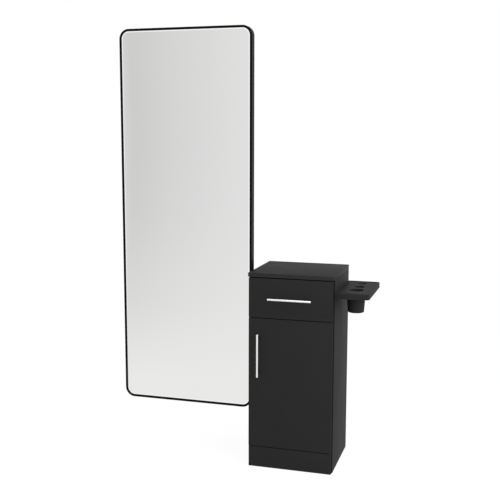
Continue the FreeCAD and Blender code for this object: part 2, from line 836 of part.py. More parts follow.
def both_halves(upper):
    """A section's upper half and then its mirror image, which runs back."""
    return upper + [(across, -up) for across, up in reversed(upper)]


def slide_section(side, inner, points):
    """A slide's section: the points as (distance from the carcass, height over the centre line)."""
    return polygon(*[(inner - across * side, slide_centre + up) for across, up in points])


def slides():
    """Three nested members a side: the outer on the carcass, the inner on the drawer."""
    gauge = mm.slide_gauge
    play = mm.slide_play
    outer_top = mm.slide_height / 2
    outer_lip = mm.slide_channel_width
    middle_near = gauge + play
    middle_top = outer_top - gauge - play
    middle_far = outer_lip - gauge - play
    middle_shelf = middle_top - mm.slide_shoulder
    middle_step = middle_near + mm.slide_step
    inner_flange = middle_top - mm.slide_lip - play
    inner_hook = middle_near + gauge + play
    far = mm.slide_thickness

    outer_half = [
        (Size(0, "0"), outer_top),
        (outer_lip, outer_top),
        (outer_lip, outer_top - mm.slide_lip),
        (outer_lip - gauge, outer_top - mm.slide_lip),
        (outer_lip - gauge, outer_top - gauge),
        (gauge, outer_top - gauge),
    ]
    middle_half = [
        (middle_near, middle_shelf),
        (middle_near, middle_top),
        (middle_far, middle_top),
        (middle_far, middle_top - mm.slide_lip),
        (middle_far - gauge, middle_top - mm.slide_lip),
        (middle_far - gauge, middle_top - gauge),
        (middle_near + gauge, middle_top - gauge),
        (middle_near + gauge, middle_shelf + gauge),
        (middle_step + gauge, middle_shelf + gauge),
    ]
    inner_half = [
        (far - gauge, inner_flange - gauge),
        (inner_hook, inner_flange - gauge),
        (inner_hook, middle_top - gauge - play),
        (inner_hook + gauge, middle_top - gauge - play),
        (inner_hook + gauge, inner_flange),
        (far, inner_flange),
    ]
    outer_points = both_halves(outer_half)
    middle_points = both_halves(middle_half) + [(middle_step, -middle_shelf), (middle_step, middle_shelf)]
    inner_points = both_halves(inner_half)
    carcass_rows = []
    drawer_rows = []
    for side, name, inner in ((-1, "left", inner_left), (1, "right", inner_right)):
        outer = Piece(f"{name}_slide_outer", inner, slide_front, slide_centre)
        outer.pad("Y", slide_front, slide_rear, slide_section(side, inner, outer_points))
        outer.cut("X", inner, inner - gauge * side, many_sided(slide_screws, screw_hole))
        middle = Piece(f"{name}_slide_middle", inner - middle_near * side, slide_front, slide_centre)
        middle.pad("Y", slide_front, slide_rear, slide_section(side, inner, middle_points))
        runner = Piece(f"{name}_slide_inner", inner - far * side, slide_front, slide_centre)
        runner.pad("Y", slide_front, slide_rear, slide_section(side, inner, inner_points))
        web = inner - (far - gauge) * side
        runner.cut("X", inner - far * side, web, many_sided(slide_screws, screw_hole))
        face = inner - gauge * side
        carcass_rows.append(("X", face, face + mm.screw_length * side, slide_screws))
        drawer_rows.append(("X", web, web - mm.short_screw_length * side, slide_screws))
    wood_screws("slide_screws", *carcass_rows)
    wood_screws("drawer_slide_screws", *drawer_rows)


# ---------------------------------------------------------------------------
# Bar handles
# ---------------------------------------------------------------------------


def is_round(edge):
    return isinstance(edge.Curve, Part.Circle)


def bar_handle(name, axis, bar_centre, middle, posts):
    """A round bar on two posts; the axis is the bar's."""
    start = middle - mm.handle_length / 2
    end = middle + mm.handle_length / 2
    place = list(bar_centre)
    place.insert("XYZ".index(axis), start)
    handle = Piece(name, *place)
    handle.pad(axis, start, end, circles([bar_centre], mm.handle_radius))
    handle.chamfer(mm.handle_chamfer, mm.handle_chamfer, is_round)
    handle.pad("Y", front, handle_y, circles(posts, mm.handle_post_radius))
    handle.cut("Y", front, front - mm.handle_thread_depth, many_sided(posts, handle_hole))
    return handle


def handles():
    bar_handle("drawer_handle", "X", (handle_y, drawer_handle_z), drawer_handle_x, drawer_posts)
    bar_handle("door_handle", "Z", (door_handle_x, handle_y), door_handle_z, door_posts)
    tip = front - mm.handle_thread_depth + mm.handle_screw_end_gap
    head = (mm.handle_screw_radius, mm.handle_screw_head_radius, mm.handle_screw_head_height)
    fasteners("drawer_handle_screws", *head, ("Y", inner_front_face, tip, drawer_posts))
    fasteners("door_handle_screws", *head, ("Y", front_rear, tip, door_posts))


# ---------------------------------------------------------------------------
# Door and its overlay pivots
# ---------------------------------------------------------------------------

leaf_left = front_right - mm.leaf_length
leaf_front = pivot_y - mm.leaf_width / 2
leaf_rear = pivot_y + mm.leaf_width / 2
leaf_screws = [(leaf_left + mm.leaf_screw_inset + mm.leaf_screw_pitch * i, pivot_y) for i in range(2)]

# the door's two ends: the level, and the way out of the door there
DOOR_ENDS = ((door_bottom, -1), (door_top, 1))

strike_left = front_left + mm.catch_inset
strike_right = strike_left + mm.strike_length
strike_top = door_top - mm.reveal
strike_bottom = strike_top - mm.strike_height


def door_and_leaves():
    door = Piece("door_panel", front_left, front, door_bottom)
    door.pad("Y", front, front_rear, rectangle(front_left, front_right, door_bottom, door_top))
    door.bevel(lambda edge: on_plane(edge, "Y", front))
    door.cut("Y", front_rear, front, many_sided(door_posts, handle_hole))
    leaves = Piece("door_pivot_leaves", leaf_left, leaf_front, door_bottom)
    bushes = Piece("pivot_bushes", pivot_x, pivot_y, door_bottom)
    rows = []
    bush_hole = mm.bush_radius + mm.fit_clearance
    for level, out in DOOR_ENDS:
        # a leaf lies flush in a mortise, open at the door's edge, with a bush through it
        seat = level - mm.leaf_thickness * out
        deep = level - mm.bush_length * out
        mortise = rectangle(leaf_left, front_right, leaf_front, leaf_rear)
        door.cut("Z", level, seat, mortise)
        door.cut("Z", level, deep, circles(pivot, bush_hole))
        tip = level - mm.screw_length * out
        door.cut("Z", level, tip, many_sided(leaf_screws, screw_hole))
        leaves.pad("Z", level, seat, mortise)
        leaves.cut("Z", level, seat, circles(pivot, bush_hole))
        countersink(leaves, "Z", level, seat, leaf_screws)
        bush = together(circles(pivot, mm.bush_radius), circles(pivot, mm.pivot_pin_radius + mm.running_fit))
        bushes.pad("Z", level, deep, bush)
        rows.append(("Z", level, tip, leaf_screws))
    countersunk_screws("door_leaf_screws", *rows)

    strike = Piece("catch_strike_plate", strike_left, front_rear, strike_bottom)
    outline = rectangle(strike_left, strike_right, strike_bottom, strike_top)
    strike.pad("Y", front_rear, front_rear + mm.strike_thickness, outline)


def pivot_arms():
    """Dog-leg plates on the divider and the floor, each with a pin into the door's bush."""
    arm_neck = carcass_front - mm.arm_side_gap
    arms = Piece("pivot_arms", arm_left, carcass_front, floor_top)
    # the foot lies inside the carcass; the arm leaves it in front of the side panel's edge
    foot = polygon(
        (arm_left, arm_rear),
        (arm_right, arm_rear),
        (arm_right, arm_neck),
        (pivot_x + mm.arm_nose_radius, arm_neck),
        (pivot_x + mm.arm_nose_radius, pivot_y),
        (pivot_x - mm.arm_nose_radius, pivot_y),
        (arm_left, carcass_front),
    )
    rows = []
    for level, out in DOOR_ENDS:
        near = level + arm_clearance * out
        far = near + mm.arm_thickness * out
        arms.pad("Z", near, far, foot)
        arms.pad("Z", near, far, circles(pivot, mm.arm_nose_radius))
        pin_tip = level - (mm.bush_length - mm.pivot_end_gap) * out
        arms.pad("Z", near, pin_tip, circles(pivot, mm.pivot_pin_radius))
        countersink(arms, "Z", near, far, arm_screws)
        rows.append(("Z", near, near + mm.screw_length * out, arm_screws))
    countersunk_screws("pivot_arm_screws", *rows)

    # the door's weight rests on a washer round the lower pin
    washer = Piece("thrust_washer", pivot_x, pivot_y, door_bottom - arm_clearance)
    bore = mm.pivot_pin_radius + mm.running_fit
    ring = together(circles(pivot, mm.bush_radius), circles(pivot, bore))
    washer.pad("Z", door_bottom - arm_clearance, door_bottom - mm.running_fit, ring)

    catch_front = front_rear + mm.strike_thickness + mm.touch_gap
    catch_rear = carcass_front + mm.catch_depth
    catch_left = strike_left - mm.catch_overhang
    catch_right = strike_right + mm.catch_overhang
    catch = Piece("magnetic_catch", catch_left, catch_front, divider_under - mm.catch_height)
    outline = rounded_rectangle(catch_left, catch_right, catch_front, catch_rear, mm.catch_overhang)
    catch.pad("Z", divider_under - mm.catch_height, divider_under, outline)


# ---------------------------------------------------------------------------
# Mirror: a timber core in an aluminium frame, with a glass on each face
# ---------------------------------------------------------------------------

mirror_right = left - mm.washer_thickness
mirror_left = mirror_right - mm.mirror_width
mirror_top = mm.mirror_bottom + mm.mirror_height
core_front = mirror_front + mm.lip_thickness + mm.glass_thickness
core_rear = mirror_rear - mm.lip_thickness - mm.glass_thickness
corner_right = mirror_right - mm.mirror_corner
corner_left = mirror_left + mm.mirror_corner
corner_top = mirror_top - mm.mirror_corner
corner_bottom = mm.mirror_bottom + mm.mirror_corner
core_right = mirror_right - mm.frame_wall
core_left = mirror_left + mm.frame_wall
batten_right = core_right - mm.batten_width
batten_left = core_left + mm.batten_width
bar_face = batten_right + mm.clamp_bar_thickness
clamp_bar_top = mirror_bolts[-1][1] + mm.clamp_bar_overhang
bar_front = mirror_middle - mm.clamp_bar_width / 2
bar_rear = mirror_middle + mm.clamp_bar_width / 2


def mirror_outline(inset):
    """The mirror's outline, drawn in by an even margin."""
    return rounded_rectangle(
        mirror_left + inset,
        mirror_right - inset,
        mm.mirror_bottom + inset,
        mirror_top - inset,
        mm.mirror_corner - inset,
    )


def quarter_disc(u, v, radius, across, up):
    """A quarter of a disc whose corner is at (u, v), towards the given signs."""

    def draw(sketch, shift):
        cu, cv = shift(u, v)
        corner = Vector(cu.value, cv.value, 0)
        r = size(radius).value
        starts = {(1, 1): 0, (-1, 1): 1, (-1, -1): 2, (1, -1): 3}
        start = starts[(across, up)] * QUARTER
        first = sketch.GeometryCount
        circle = Part.Circle(corner, Vector(0, 0, 1), r)
        sketch.addGeometry(Part.ArcOfCircle(circle, start, start + QUARTER), False)
        arc = sketch.Geometry[first]
        sketch.addGeometry(Part.LineSegment(corner, arc.StartPoint), False)
        sketch.addGeometry(Part.LineSegment(arc.EndPoint, corner), False)
        for one, end, other, start_point in ((first + 1, 2, first, 1), (first, 2, first + 2, 1)):
            sketch.addConstraint(Sketcher.Constraint("Coincident", one, end, other, start_point))
        sketch.addConstraint(Sketcher.Constraint("Coincident", first + 2, 2, first + 1, 1))
        sketch.addConstraint(Sketcher.Constraint("Coincident", first, 3, first + 1, 1))
        flat = start in (0, 2 * QUARTER)
        sketch.addConstraint(Sketcher.Constraint("Horizontal" if flat else "Vertical", first + 1))
        sketch.addConstraint(Sketcher.Constraint("Vertical" if flat else "Horizontal", first + 2))
        fix(sketch, "Radius", first, radius)
        place_point(sketch, first, 3, cu, cv)

    return draw


def mirror_shell():
    """Lips before and behind the glasses on a thin wall, drawn as three rings."""
    frame = Piece("mirror_frame", mirror_left, mirror_front, mm.mirror_bottom)
    front_lip = mirror_front + mm.lip_thickness
    rear_lip = mirror_rear - mm.lip_thickness
    lip = together(mirror_outline(0), mirror_outline(mm.frame_lip))
    frame.pad("Y", mirror_front, front_lip, lip)
    frame.pad("Y", front_lip, rear_lip, together(mirror_outline(0), mirror_outline(mm.frame_wall)))
    frame.pad("Y", rear_lip, mirror_rear, lip)
    frame.cut("X", mirror_right, core_right, many_sided(mirror_bolts, bolt_hole))

    margin = mm.frame_wall + mm.glass_gap
    for name, seen, hidden in (
        ("front_mirror_glass", front_lip, core_front),
        ("rear_mirror_glass", rear_lip, core_rear),
    ):
        glass = Piece(name, mirror_left + margin, seen, mm.mirror_bottom + margin)
        glass.pad("Y", hidden, seen, mirror_outline(margin))
        glass.chamfer(mm.bevel_width, mm.bevel_depth, lambda edge: on_plane(edge, "Y", seen))


def mirror_core():
    """Battens along the frame, rails across, and a block in each round corner."""
    depth = (core_front, core_rear)
    right_stile = Piece("mirror_right_stile", batten_right, core_front, corner_bottom)
    right_stile.pad("Y", *depth, rectangle(batten_right, core_right, corner_bottom, corner_top))
    slot = rectangle(bar_front, bar_rear, clamp_bar_bottom, clamp_bar_top)
    right_stile.cut("X", batten_right, bar_face, slot)
    right_stile.cut("X", bar_face, core_right, many_sided(mirror_bolts, bolt_hole))
    left_stile = Piece("mirror_left_stile", core_left, core_front, corner_bottom)
    left_stile.pad("Y", *depth, rectangle(core_left, batten_left, corner_bottom, corner_top))

    rail_bottom = mm.mirror_bottom + mm.frame_wall
    rail_top = mirror_top - mm.frame_wall
    rails = Piece("mirror_rails", corner_left, core_front, rail_bottom)
    rails.pad("Y", *depth, rectangle(corner_left, corner_right, rail_bottom, rail_bottom + mm.batten_width))
    rails.pad("Y", *depth, rectangle(corner_left, corner_right, rail_top - mm.batten_width, rail_top))

    pitch = (corner_top - corner_bottom) / (CROSS_RAILS + 1)
    first = corner_bottom + pitch - mm.batten_width / 2
    cross_rails = Piece("mirror_cross_rails", batten_left, core_front, first)
    for i in range(CROSS_RAILS):
        low = first + pitch * i
        outline = rectangle(batten_left, batten_right, low, low + mm.batten_width)
        cross_rails.pad("Y", *depth, outline)

    radius = mm.mirror_corner - mm.frame_wall - mm.block_gap
    blocks = Piece("mirror_corner_blocks", corner_left, core_front, corner_bottom)
    corners = [
        quarter_disc(x, z, radius, across, up)
        for x, across in ((corner_left, -1), (corner_right, 1))
        for z, up in ((corner_bottom, -1), (corner_top, 1))
    ]
    blocks.pad("Y", *depth, together(*corners))


def mirror_fixing():
    """Bolts from inside the cabinet through the frame into a tapped bar in the mirror's core."""
    bar = Piece("mirror_clamp_bar", batten_right, bar_front, clamp_bar_bottom)
    bar.pad("X", batten_right, bar_face, rectangle(bar_front, bar_rear, clamp_bar_bottom, clamp_bar_top))
    bar.cut("X", batten_right, bar_face, many_sided(mirror_bolts, mm.mirror_bolt_radius + mm.fit_clearance))

    washers = Piece("mirror_bolt_washers", inner_left, *mirror_bolts[0])
    rim = many_sided(mirror_bolts, mm.washer_radius, WASHER_SIDES)
    ring = together(rim, many_sided(mirror_bolts, bolt_hole))
    under_heads = inner_left + mm.washer_thickness
    washers.pad("X", inner_left, under_heads, ring)
    washers.pad("X", left, mirror_right, ring)
    head = (mm.mirror_bolt_radius, mm.mirror_bolt_head_radius, mm.mirror_bolt_head_height)
    fasteners("mirror_bolts", *head, ("X", under_heads, batten_right, mirror_bolts))


# ---------------------------------------------------------------------------
# Tool holder: a moulded tray on the right side, with a cup under its first hole
# ---------------------------------------------------------------------------

holder_outer = right + mm.holder_reach
hole_line = right + mm.hole_offset
first_hole = holder_front + mm.first_hole
holes = [
    ((hole_line, first_hole), mm.dryer_hole_radius),
    ((hole_line, first_hole + mm.hole_spacing), mm.wand_hole_radius),
    ((hole_line, first_hole + mm.hole_spacing * 2), mm.comb_hole_radius),
]
deck_top = holder_top - mm.holder_rim_height
deck_under = deck_top - mm.holder_wall
sleeve_bottom = deck_under - mm.sleeve_depth


def tool_holder():
    tray = Piece("tool_holder", right, holder_front, holder_top - mm.holder_wall_skirt)
    profile = polygon(
        (right, holder_top - mm.holder_wall_skirt),
        (right, holder_top),
        (holder_outer, holder_top),
        (holder_outer, holder_top - mm.holder_outer_skirt),
    )
    tray.pad("Y", holder_front, holder_rear, profile)
    tray.fillet(mm.holder_corner, lambda edge: on_plane(edge, "X", holder_outer) and is_upright(edge))
    tray.fillet(mm.holder_edge_rounding, lambda edge: on_plane(edge, "Z", holder_top) and off_wall(edge))

    # hollow from below, and a shallow recess on top that leaves a raised rim
    wall = mm.holder_wall
    hollow = rounded_rectangle(
        right + wall, holder_outer - wall, holder_front + wall, holder_rear - wall, mm.holder_corner - wall
    )
    tray.cut("Z", holder_top - mm.holder_wall_skirt, deck_under, hollow)
    rim = mm.holder_rim_width
    recess = rounded_rectangle(
        right + rim, holder_outer - rim, holder_front + rim, holder_rear - rim, mm.holder_recess_corner
    )
    tray.cut("Z", holder_top, deck_top, recess)

    # a sleeve round each hole, ribs between them, and a boss for each screw
    for centre, radius in holes:
        tray.pad("Z", deck_under, sleeve_bottom, many_sided([centre], radius + mm.sleeve_wall, MOULDED_SIDES))
    for middle in rib_lines():
        edges = (middle - mm.rib_thickness / 2, middle + mm.rib_thickness / 2)
        rib = rectangle(right + wall / 2, holder_outer - wall / 2, *edges)
        tray.pad("Z", deck_under, deck_under - mm.rib_depth, rib)
    tray.pad("X", right + wall, right + mm.boss_length, many_sided(holder_screws, mm.boss_radius))
    for centre, radius in holes:
        tray.cut("Z", deck_top, sleeve_bottom, many_sided([centre], radius, MOULDED_SIDES))
    tray.cut("X", right, right + mm.boss_length, many_sided(holder_screws, screw_hole))

    face = inner_right
    tip = right + mm.boss_length - mm.fit_clearance
    wood_screws("tool_holder_screws", ("X", face, tip, holder_screws))


def is_upright(edge):
    box = edge.BoundBox
    return box.ZLength > box.XLength + box.YLength


def off_wall(edge):
    """True for an edge that isn't along the cabinet's side."""
    return edge.BoundBox.XMax > right.value + TOLERANCE


def rib_lines():
    """Half-way between the rims of neighbouring holes."""
    return [
        (near[1] + near_radius + far[1] - far_radius) / 2
        for (near, near_radius), (far, far_radius) in zip(holes, holes[1:])
    ]


def dryer_cup():
    """A tapered cup pushed over the first hole's sleeve, open below for a cable."""
    centre, hole_radius = holes[0]
    cup_bottom = deck_under - mm.dryer_cup_height
    cup_floor = cup_bottom + mm.dryer_cup_wall
    shoulder = sleeve_bottom - mm.fit_clearance
    bevel = mm.dryer_cup_bevel
    flare = (mm.cup_top_radius - mm.cup_bottom_radius) / mm.dryer_cup_height

    def ring(radius):
        return many_sided([centre], radius, MOULDED_SIDES)

    cup = Piece("dryer_cup", *centre, cup_bottom)
    cup.loft(
        "Additive",
        (deck_under, ring(mm.cup_top_radius)),
        (cup_bottom + bevel, ring(mm.cup_bottom_radius + flare * bevel)),
        (cup_bottom, ring(mm.cup_bottom_radius - bevel)),
    )
    cup.cut("Z", deck_under, shoulder, ring(hole_radius + mm.sleeve_wall + mm.fit_clearance))
    cup.loft(
        "Subtractive",
        (shoulder, ring(hole_radius)),
        (cup_floor, ring(mm.cup_bottom_radius - mm.dryer_cup_wall)),
    )
    cup.cut("Z", cup_floor, cup_bottom, ring(mm.dryer_cup_drain_radius))


# ---------------------------------------------------------------------------
# Build, check and write
# ---------------------------------------------------------------------------


def check():
    """Stop with the names of what failed: a broken feature, an empty cut or a bad shape."""
    faults = [o.Name for o in doc.Objects if {"Invalid", "Error"} & set(o.State)]
    for o in doc.Objects:
        if o.TypeId == "PartDesign::Pocket":
            before = o.BaseFeature.Shape.Volume
            if o.Shape.Volume > before - CUT_VOLUME:
                faults.append(f"{o.Name} cuts nothing")
    for piece in PIECES:
        shape = piece.body.Shape
        if shape.isNull() or not shape.isValid() or not shape.Solids:
            faults.append(piece.name)
    if faults:
        raise RuntimeError("failed: " + ", ".join(faults))


carcass()
shelf_and_pins()
cams()
steel_base()
bumpers()
drawer_boards()
slides()
handles()
door_and_leaves()
pivot_arms()
mirror_shell()
mirror_core()
mirror_fixing()
tool_holder()
dryer_cup()
doc.recompute()
check()
os.makedirs("parts", exist_ok=True)
for piece in PIECES:
    piece.body.Shape.exportStep(f"parts/{piece.name}.step")
print(len(PIECES), "sub-parts,", sum(len(piece.body.Shape.Solids) for piece in PIECES), "solids")
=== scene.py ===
import json
import math

import bmesh
import bpy
from mathutils import Matrix, Vector


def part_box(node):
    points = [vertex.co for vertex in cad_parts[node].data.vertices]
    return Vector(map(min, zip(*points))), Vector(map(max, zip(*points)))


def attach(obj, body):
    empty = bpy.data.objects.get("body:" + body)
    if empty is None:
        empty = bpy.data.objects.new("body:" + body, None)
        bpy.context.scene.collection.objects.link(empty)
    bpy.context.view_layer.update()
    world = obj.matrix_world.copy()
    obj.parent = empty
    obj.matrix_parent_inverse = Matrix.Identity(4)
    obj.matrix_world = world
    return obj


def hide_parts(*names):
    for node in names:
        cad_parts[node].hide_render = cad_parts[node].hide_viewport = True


# Salon station: its finishes, its round and moulded pieces, a studio and a camera.
# Metres. +Z is up, the fronts face -Y, the tool holder is on the +X side.

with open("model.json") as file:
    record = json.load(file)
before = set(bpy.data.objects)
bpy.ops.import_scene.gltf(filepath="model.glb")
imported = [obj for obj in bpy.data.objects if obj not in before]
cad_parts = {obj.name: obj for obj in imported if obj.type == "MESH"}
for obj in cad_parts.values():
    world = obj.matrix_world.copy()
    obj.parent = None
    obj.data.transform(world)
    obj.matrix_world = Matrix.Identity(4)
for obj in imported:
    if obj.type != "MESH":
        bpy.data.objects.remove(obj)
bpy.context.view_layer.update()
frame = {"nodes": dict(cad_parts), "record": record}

NODES = frame["nodes"]
BODIES = frame["record"]["behaviour"]["bodies"]
BODY_OF = {node: body for body, members in BODIES.items() for node in members}
SLOT_OF = {row["node"]: row["material_slot"] for row in frame["record"]["subparts"]}

MM = 0.001
WELD = 0.00001
X, Y, Z = Vector((1, 0, 0)), Vector((0, 1, 0)), Vector((0, 0, 1))
FULL_TURN = 2 * math.pi
QUARTER = math.pi / 2
SHARP = math.radians(30)

# clearance of what is pushed into, or over, another piece
FIT = 0.1 * MM

# boards, and the materials of a board's mesh by place
EASE = 0.5 * MM
EASE_STEPS = 3
FACE_SLOT, EDGE_SLOT, FRONT_EDGE_SLOT = 0, 1, 2
PIN_BORE = 2.6 * MM
PIN_BORE_DEPTH = 8 * MM
PIN_PITCH = 32 * MM
PIN_LEVELS = (-2, -1, 0, 1, 2)
BORE_STEPS = 24

# bar handles
BAR_EASE = 1 * MM
BAR_EASE_STEPS = 4
BAR_STEPS = 48
POST_RADIUS = 4 * MM
POST_STEPS = 32

# fasteners and small fittings: lengths, counts of steps or sides, and shares of a radius or height
DOME_STEPS = 5
THREAD_PITCH = 1.2 * MM
THREAD_ROOT = 0.78
SCREW_STEPS = 20
RECESS_ARM = 0.66
RECESS_WIDTH = 0.16
RECESS_NARROWING = 0.55
PAN_HEIGHT = 0.45
PAN_SEAT = 1.1
PAN_NECK = 1.6
PAN_RECESS = 0.8
SUNK_RIM = 1.08
SUNK_RIM_HEIGHT = 0.2 * MM
SUNK_HEIGHT = 0.5
SUNK_NECK = 0.6
SUNK_RECESS = 0.35
CAM_RADIUS = 7.6 * MM
CAM_PROUD = 0.25 * MM
CAM_DISH = 0.4 * MM
CAM_DISH_RADIUS = 0.72
CAM_RIM_RADIUS = 0.76
CAM_CROSS_RADIUS = 0.8
CAM_CROSS = 1.1 * MM
CAM_DISC = 2 * MM
WASHER_RADIUS = 12 * MM
WASHER_BORE = 4.3 * MM
WASHER_EASE = 0.3 * MM
DISC_STEPS = 40
BUTTON_HEIGHT = 5 * MM
BUTTON_FLAT = 0.5
BUTTON_DOME = 0.75
BUTTON_STEPS = 36
SOCKET_RADIUS = 0.42
SOCKET_DEPTH = 0.6
SOCKET_SIDES = 6
SHELF_PIN_RADIUS = 2.5 * MM
SHELF_PIN_COLLAR = 4 * MM
SHELF_PIN_COLLAR_HEIGHT = 1.2 * MM
SHELF_PIN_EASE = 0.6 * MM
BUMPER_RADIUS = 4 * MM
BUMPER_RIM = 0.3
BUMPER_STEPS = 28

# mirror
GLASS_BEVEL = 14 * MM
GLASS_BEVEL_DEPTH = 1.2 * MM
GLASS_BEVEL_SHARP = math.radians(2.5)
FRAME_LIP = 11 * MM
FRAME_WALL = 2 * MM
LIP_THICKNESS = 1.5 * MM
FRAME_EASE = 0.4 * MM
FRAME_EASED_FROM = math.radians(60)
FRAME_CORNER = 47 * MM
FRAME_SEAM = 10 * WELD
CORNER_STEPS = 16

# tool holder and cup
HOLDER_WALL = 3 * MM
HOLDER_CORNER = 12 * MM
HOLDER_CORNER_STEPS = 10
HOLDER_EDGE = 3 * MM
HOLDER_EDGE_STEPS = 4
HOLDER_RIM = 9 * MM
HOLDER_RIM_HEIGHT = 1.5 * MM
HOLDER_RECESS_CORNER = 6 * MM
HOLDER_INNER_STEPS = 8
HOLDER_SKIRT_RISE = 3 * MM
HOLE_RADII = (34 * MM, 25 * MM, 20 * MM)
HOLE_SPACING = 90 * MM
HOLE_EDGE = 1.2 * MM
HOLE_EDGE_STEPS = 5
SLEEVE_WALL = 2.5 * MM
SLEEVE_DEPTH = 16 * MM
SLEEVE_EASE = 0.5 * MM
MOULDED_STEPS = 72
RIB_THICKNESS = 2.5 * MM
RIB_DEPTH = 14 * MM
BOSS_RADIUS = 5 * MM
BOSS_LENGTH = 15 * MM
BOSS_STEPS = 28
CUP_TOP_RADIUS = 45 * MM
CUP_BASE_RADIUS = 38 * MM
CUP_BASE_EDGE = 4 * MM
CUP_BASE_EDGE_STEPS = 6
CUP_RIM_EDGE = 0.8 * MM
CUP_WALL = 3 * MM
CUP_DRAIN = 12 * MM
CUP_STEPS = 96

# camera, from the fit to the cabinet's and the mirror's edges
CAMERA_PLACE = Vector((0.9043, -3.8814, 1.5836))
CAMERA_YAW = math.radians(16.570)
CAMERA_PITCH = math.radians(7.940)
CAMERA_ROLL = math.radians(0.103)
CAMERA_LENS = 60.49
CAMERA_SENSOR = 36


# ---------------------------------------------------------------------------
# Shader maths
# ---------------------------------------------------------------------------


class Value:
    """A node's output, which sums can be written with."""

    def __init__(self, nodes, socket):
        self.nodes = nodes
        self.socket = socket

    def maths(self, operation, first, second):
        return self.nodes.add("ShaderNodeMath", {"operation": operation}, {0: first, 1: second})

    def __add__(self, other):
        return self.maths("ADD", self, other)

    def __sub__(self, other):
        return self.maths("SUBTRACT", self, other)

    def __rsub__(self, other):
        return self.maths("SUBTRACT", other, self)

    def __mul__(self, other):
        return self.maths("MULTIPLY", self, other)

    __radd__ = __add__
    __rmul__ = __mul__


class Nodes:
    """A node tree, filled one node at a time."""

    def __init__(self, tree):
        self.tree = tree

    def add(self, kind, settings=None, inputs=None, output=0):
        """A node of that type: its settings first, then the values or links of its sockets."""
        node = self.tree.nodes.new(kind)
        for name, value in (settings or {}).items():
            if name == "stops":
                self.set_stops(node.color_ramp.elements, value)
            else:
                setattr(node, name, value)
        for socket, value in (inputs or {}).items():
            self.feed(node.inputs[socket], value)
        return Value(self, node.outputs[output])

    def feed(self, socket, value):
        if isinstance(value, Value):
            self.tree.links.new(value.socket, socket)
        else:
            socket.default_value = value

    @staticmethod
    def set_stops(elements, stops):
        """A ramp's stops, each a position and a grey level."""
        while len(elements) < len(stops):
            elements.new(1)
        for element, (position, level) in zip(elements, stops):
            element.position = position
            element.color = (level, level, level, 1)


class Finish(Nodes):
    """A material for this station's pieces, with the pattern fixed to the piece."""

    def __init__(self, name, colour, roughness, specular=0.5, metallic=0.0):
        self.material = bpy.data.materials.new(name)
        self.material.use_nodes = True
        super().__init__(self.material.node_tree)
        self.shader = self.tree.nodes["Principled BSDF"].inputs
        self.shader["Base Color"].default_value = colour
        self.shader["Roughness"].default_value = roughness
        self.shader["Specular IOR Level"].default_value = specular
        self.shader["Metallic"].default_value = metallic
        self.place = self.add("ShaderNodeTexCoord", output="Object")

    def noise(self, scale, detail=2.0, stretch=(1, 1, 1)):
        """Cloudy noise from 0 to 1, with so many clouds to the metre."""
        where = self.add("ShaderNodeMapping", inputs={"Vector": self.place, "Scale": stretch})
        inputs = {"Vector": where, "Scale": scale, "Detail": detail}
        return self.add("ShaderNodeTexNoise", inputs=inputs)

    def cells(self, scale):
        """Distance from the nearest of many scattered points."""
        return self.add("ShaderNodeTexVoronoi", inputs={"Vector": self.place, "Scale": scale})

    def steps(self, value, *stops):
        return self.add("ShaderNodeValToRGB", {"stops": stops}, {"Fac": value})

    def colour(self, mask, low, high):
        """Base colour between two colours by a mask."""
        mix = self.add("ShaderNodeMix", {"data_type": "RGBA"}, {0: mask, 6: low, 7: high}, 2)
        self.feed(self.shader["Base Color"], mix)

    def roughness(self, value):
        self.feed(self.shader["Roughness"], value)

    def bump(self, height, depth, strength):
        """Relief of that real depth."""
        inputs = {"Strength": strength, "Distance": depth, "Height": height}
        self.feed(self.shader["Normal"], self.add("ShaderNodeBump", inputs=inputs))


def tone(red, green=None, blue=None):
    """A linear colour from levels of 0 to 255, a grey if only one is given."""
    levels = (red, red if green is None else green, red if blue is None else blue)
    return [((level / 255 + 0.055) / 1.055) ** 2.4 for level in levels] + [1]


# ---------------------------------------------------------------------------
# Finishes
# ---------------------------------------------------------------------------


def laminate(name, level, specular=0.06, roughness=0.5):
    """Pressed melamine: a fine pearl, a faint cloudiness and a hand's light smears."""
    finish = Finish(name, tone(level), roughness, specular)
    clouds = finish.noise(5, 3)
    pearl = finish.noise(900, 2)
    finish.colour(clouds * 0.6 + pearl * 0.4, tone(level - 3), tone(level + 3))
    smears = finish.noise(11, 4, (1, 1, 0.4))
    finish.roughness(roughness - 0.06 + 0.12 * smears)
    finish.bump(pearl, 0.05 * MM, 0.4)
    return finish.material


def edge_band(name, level):
    """The plastic strip along a board's edges, a little smoother than its faces."""
    finish = Finish(name, tone(level), 0.42, 0.07)
    drawn = finish.noise(420, 2, (1, 1, 0.1))
    finish.colour(drawn, tone(level - 2), tone(level + 2))
    finish.roughness(0.36 + 0.1 * drawn)
    return finish.material


def pale_board():
    """Pale melamine with a soft print and a fine grain."""
    finish = Finish("drawer_melamine", tone(160), 0.5, 0.3)
    grain = finish.noise(260, 4, (1, 0.05, 1))
    finish.colour(grain, tone(151, 151, 149), tone(168, 168, 165))
    finish.roughness(0.44 + 0.14 * grain)
    finish.bump(grain, 0.06 * MM, 0.5)
    return finish.material


def hardboard():
    finish = Finish("hardboard", tone(164, 162, 156), 0.55, 0.3)
    fibres = finish.noise(190, 5, (1, 0.3, 1))
    finish.colour(fibres, tone(150, 148, 141), tone(172, 170, 165))
    finish.bump(finish.noise(700, 2), 0.08 * MM, 0.5)
    return finish.material


def brushed_steel(name, along, level):
    """Steel brushed along the piece, whose direction is given as a stretch of the pattern."""
    finish = Finish(name, tone(level), 0.26, metallic=1.0)
    strokes = finish.noise(1400, 3, along)
    finish.colour(strokes, tone(level - 12), tone(level + 8))
    finish.roughness(0.2 + 0.16 * strokes)
    finish.bump(strokes, 0.03 * MM, 0.35)
    return finish.material


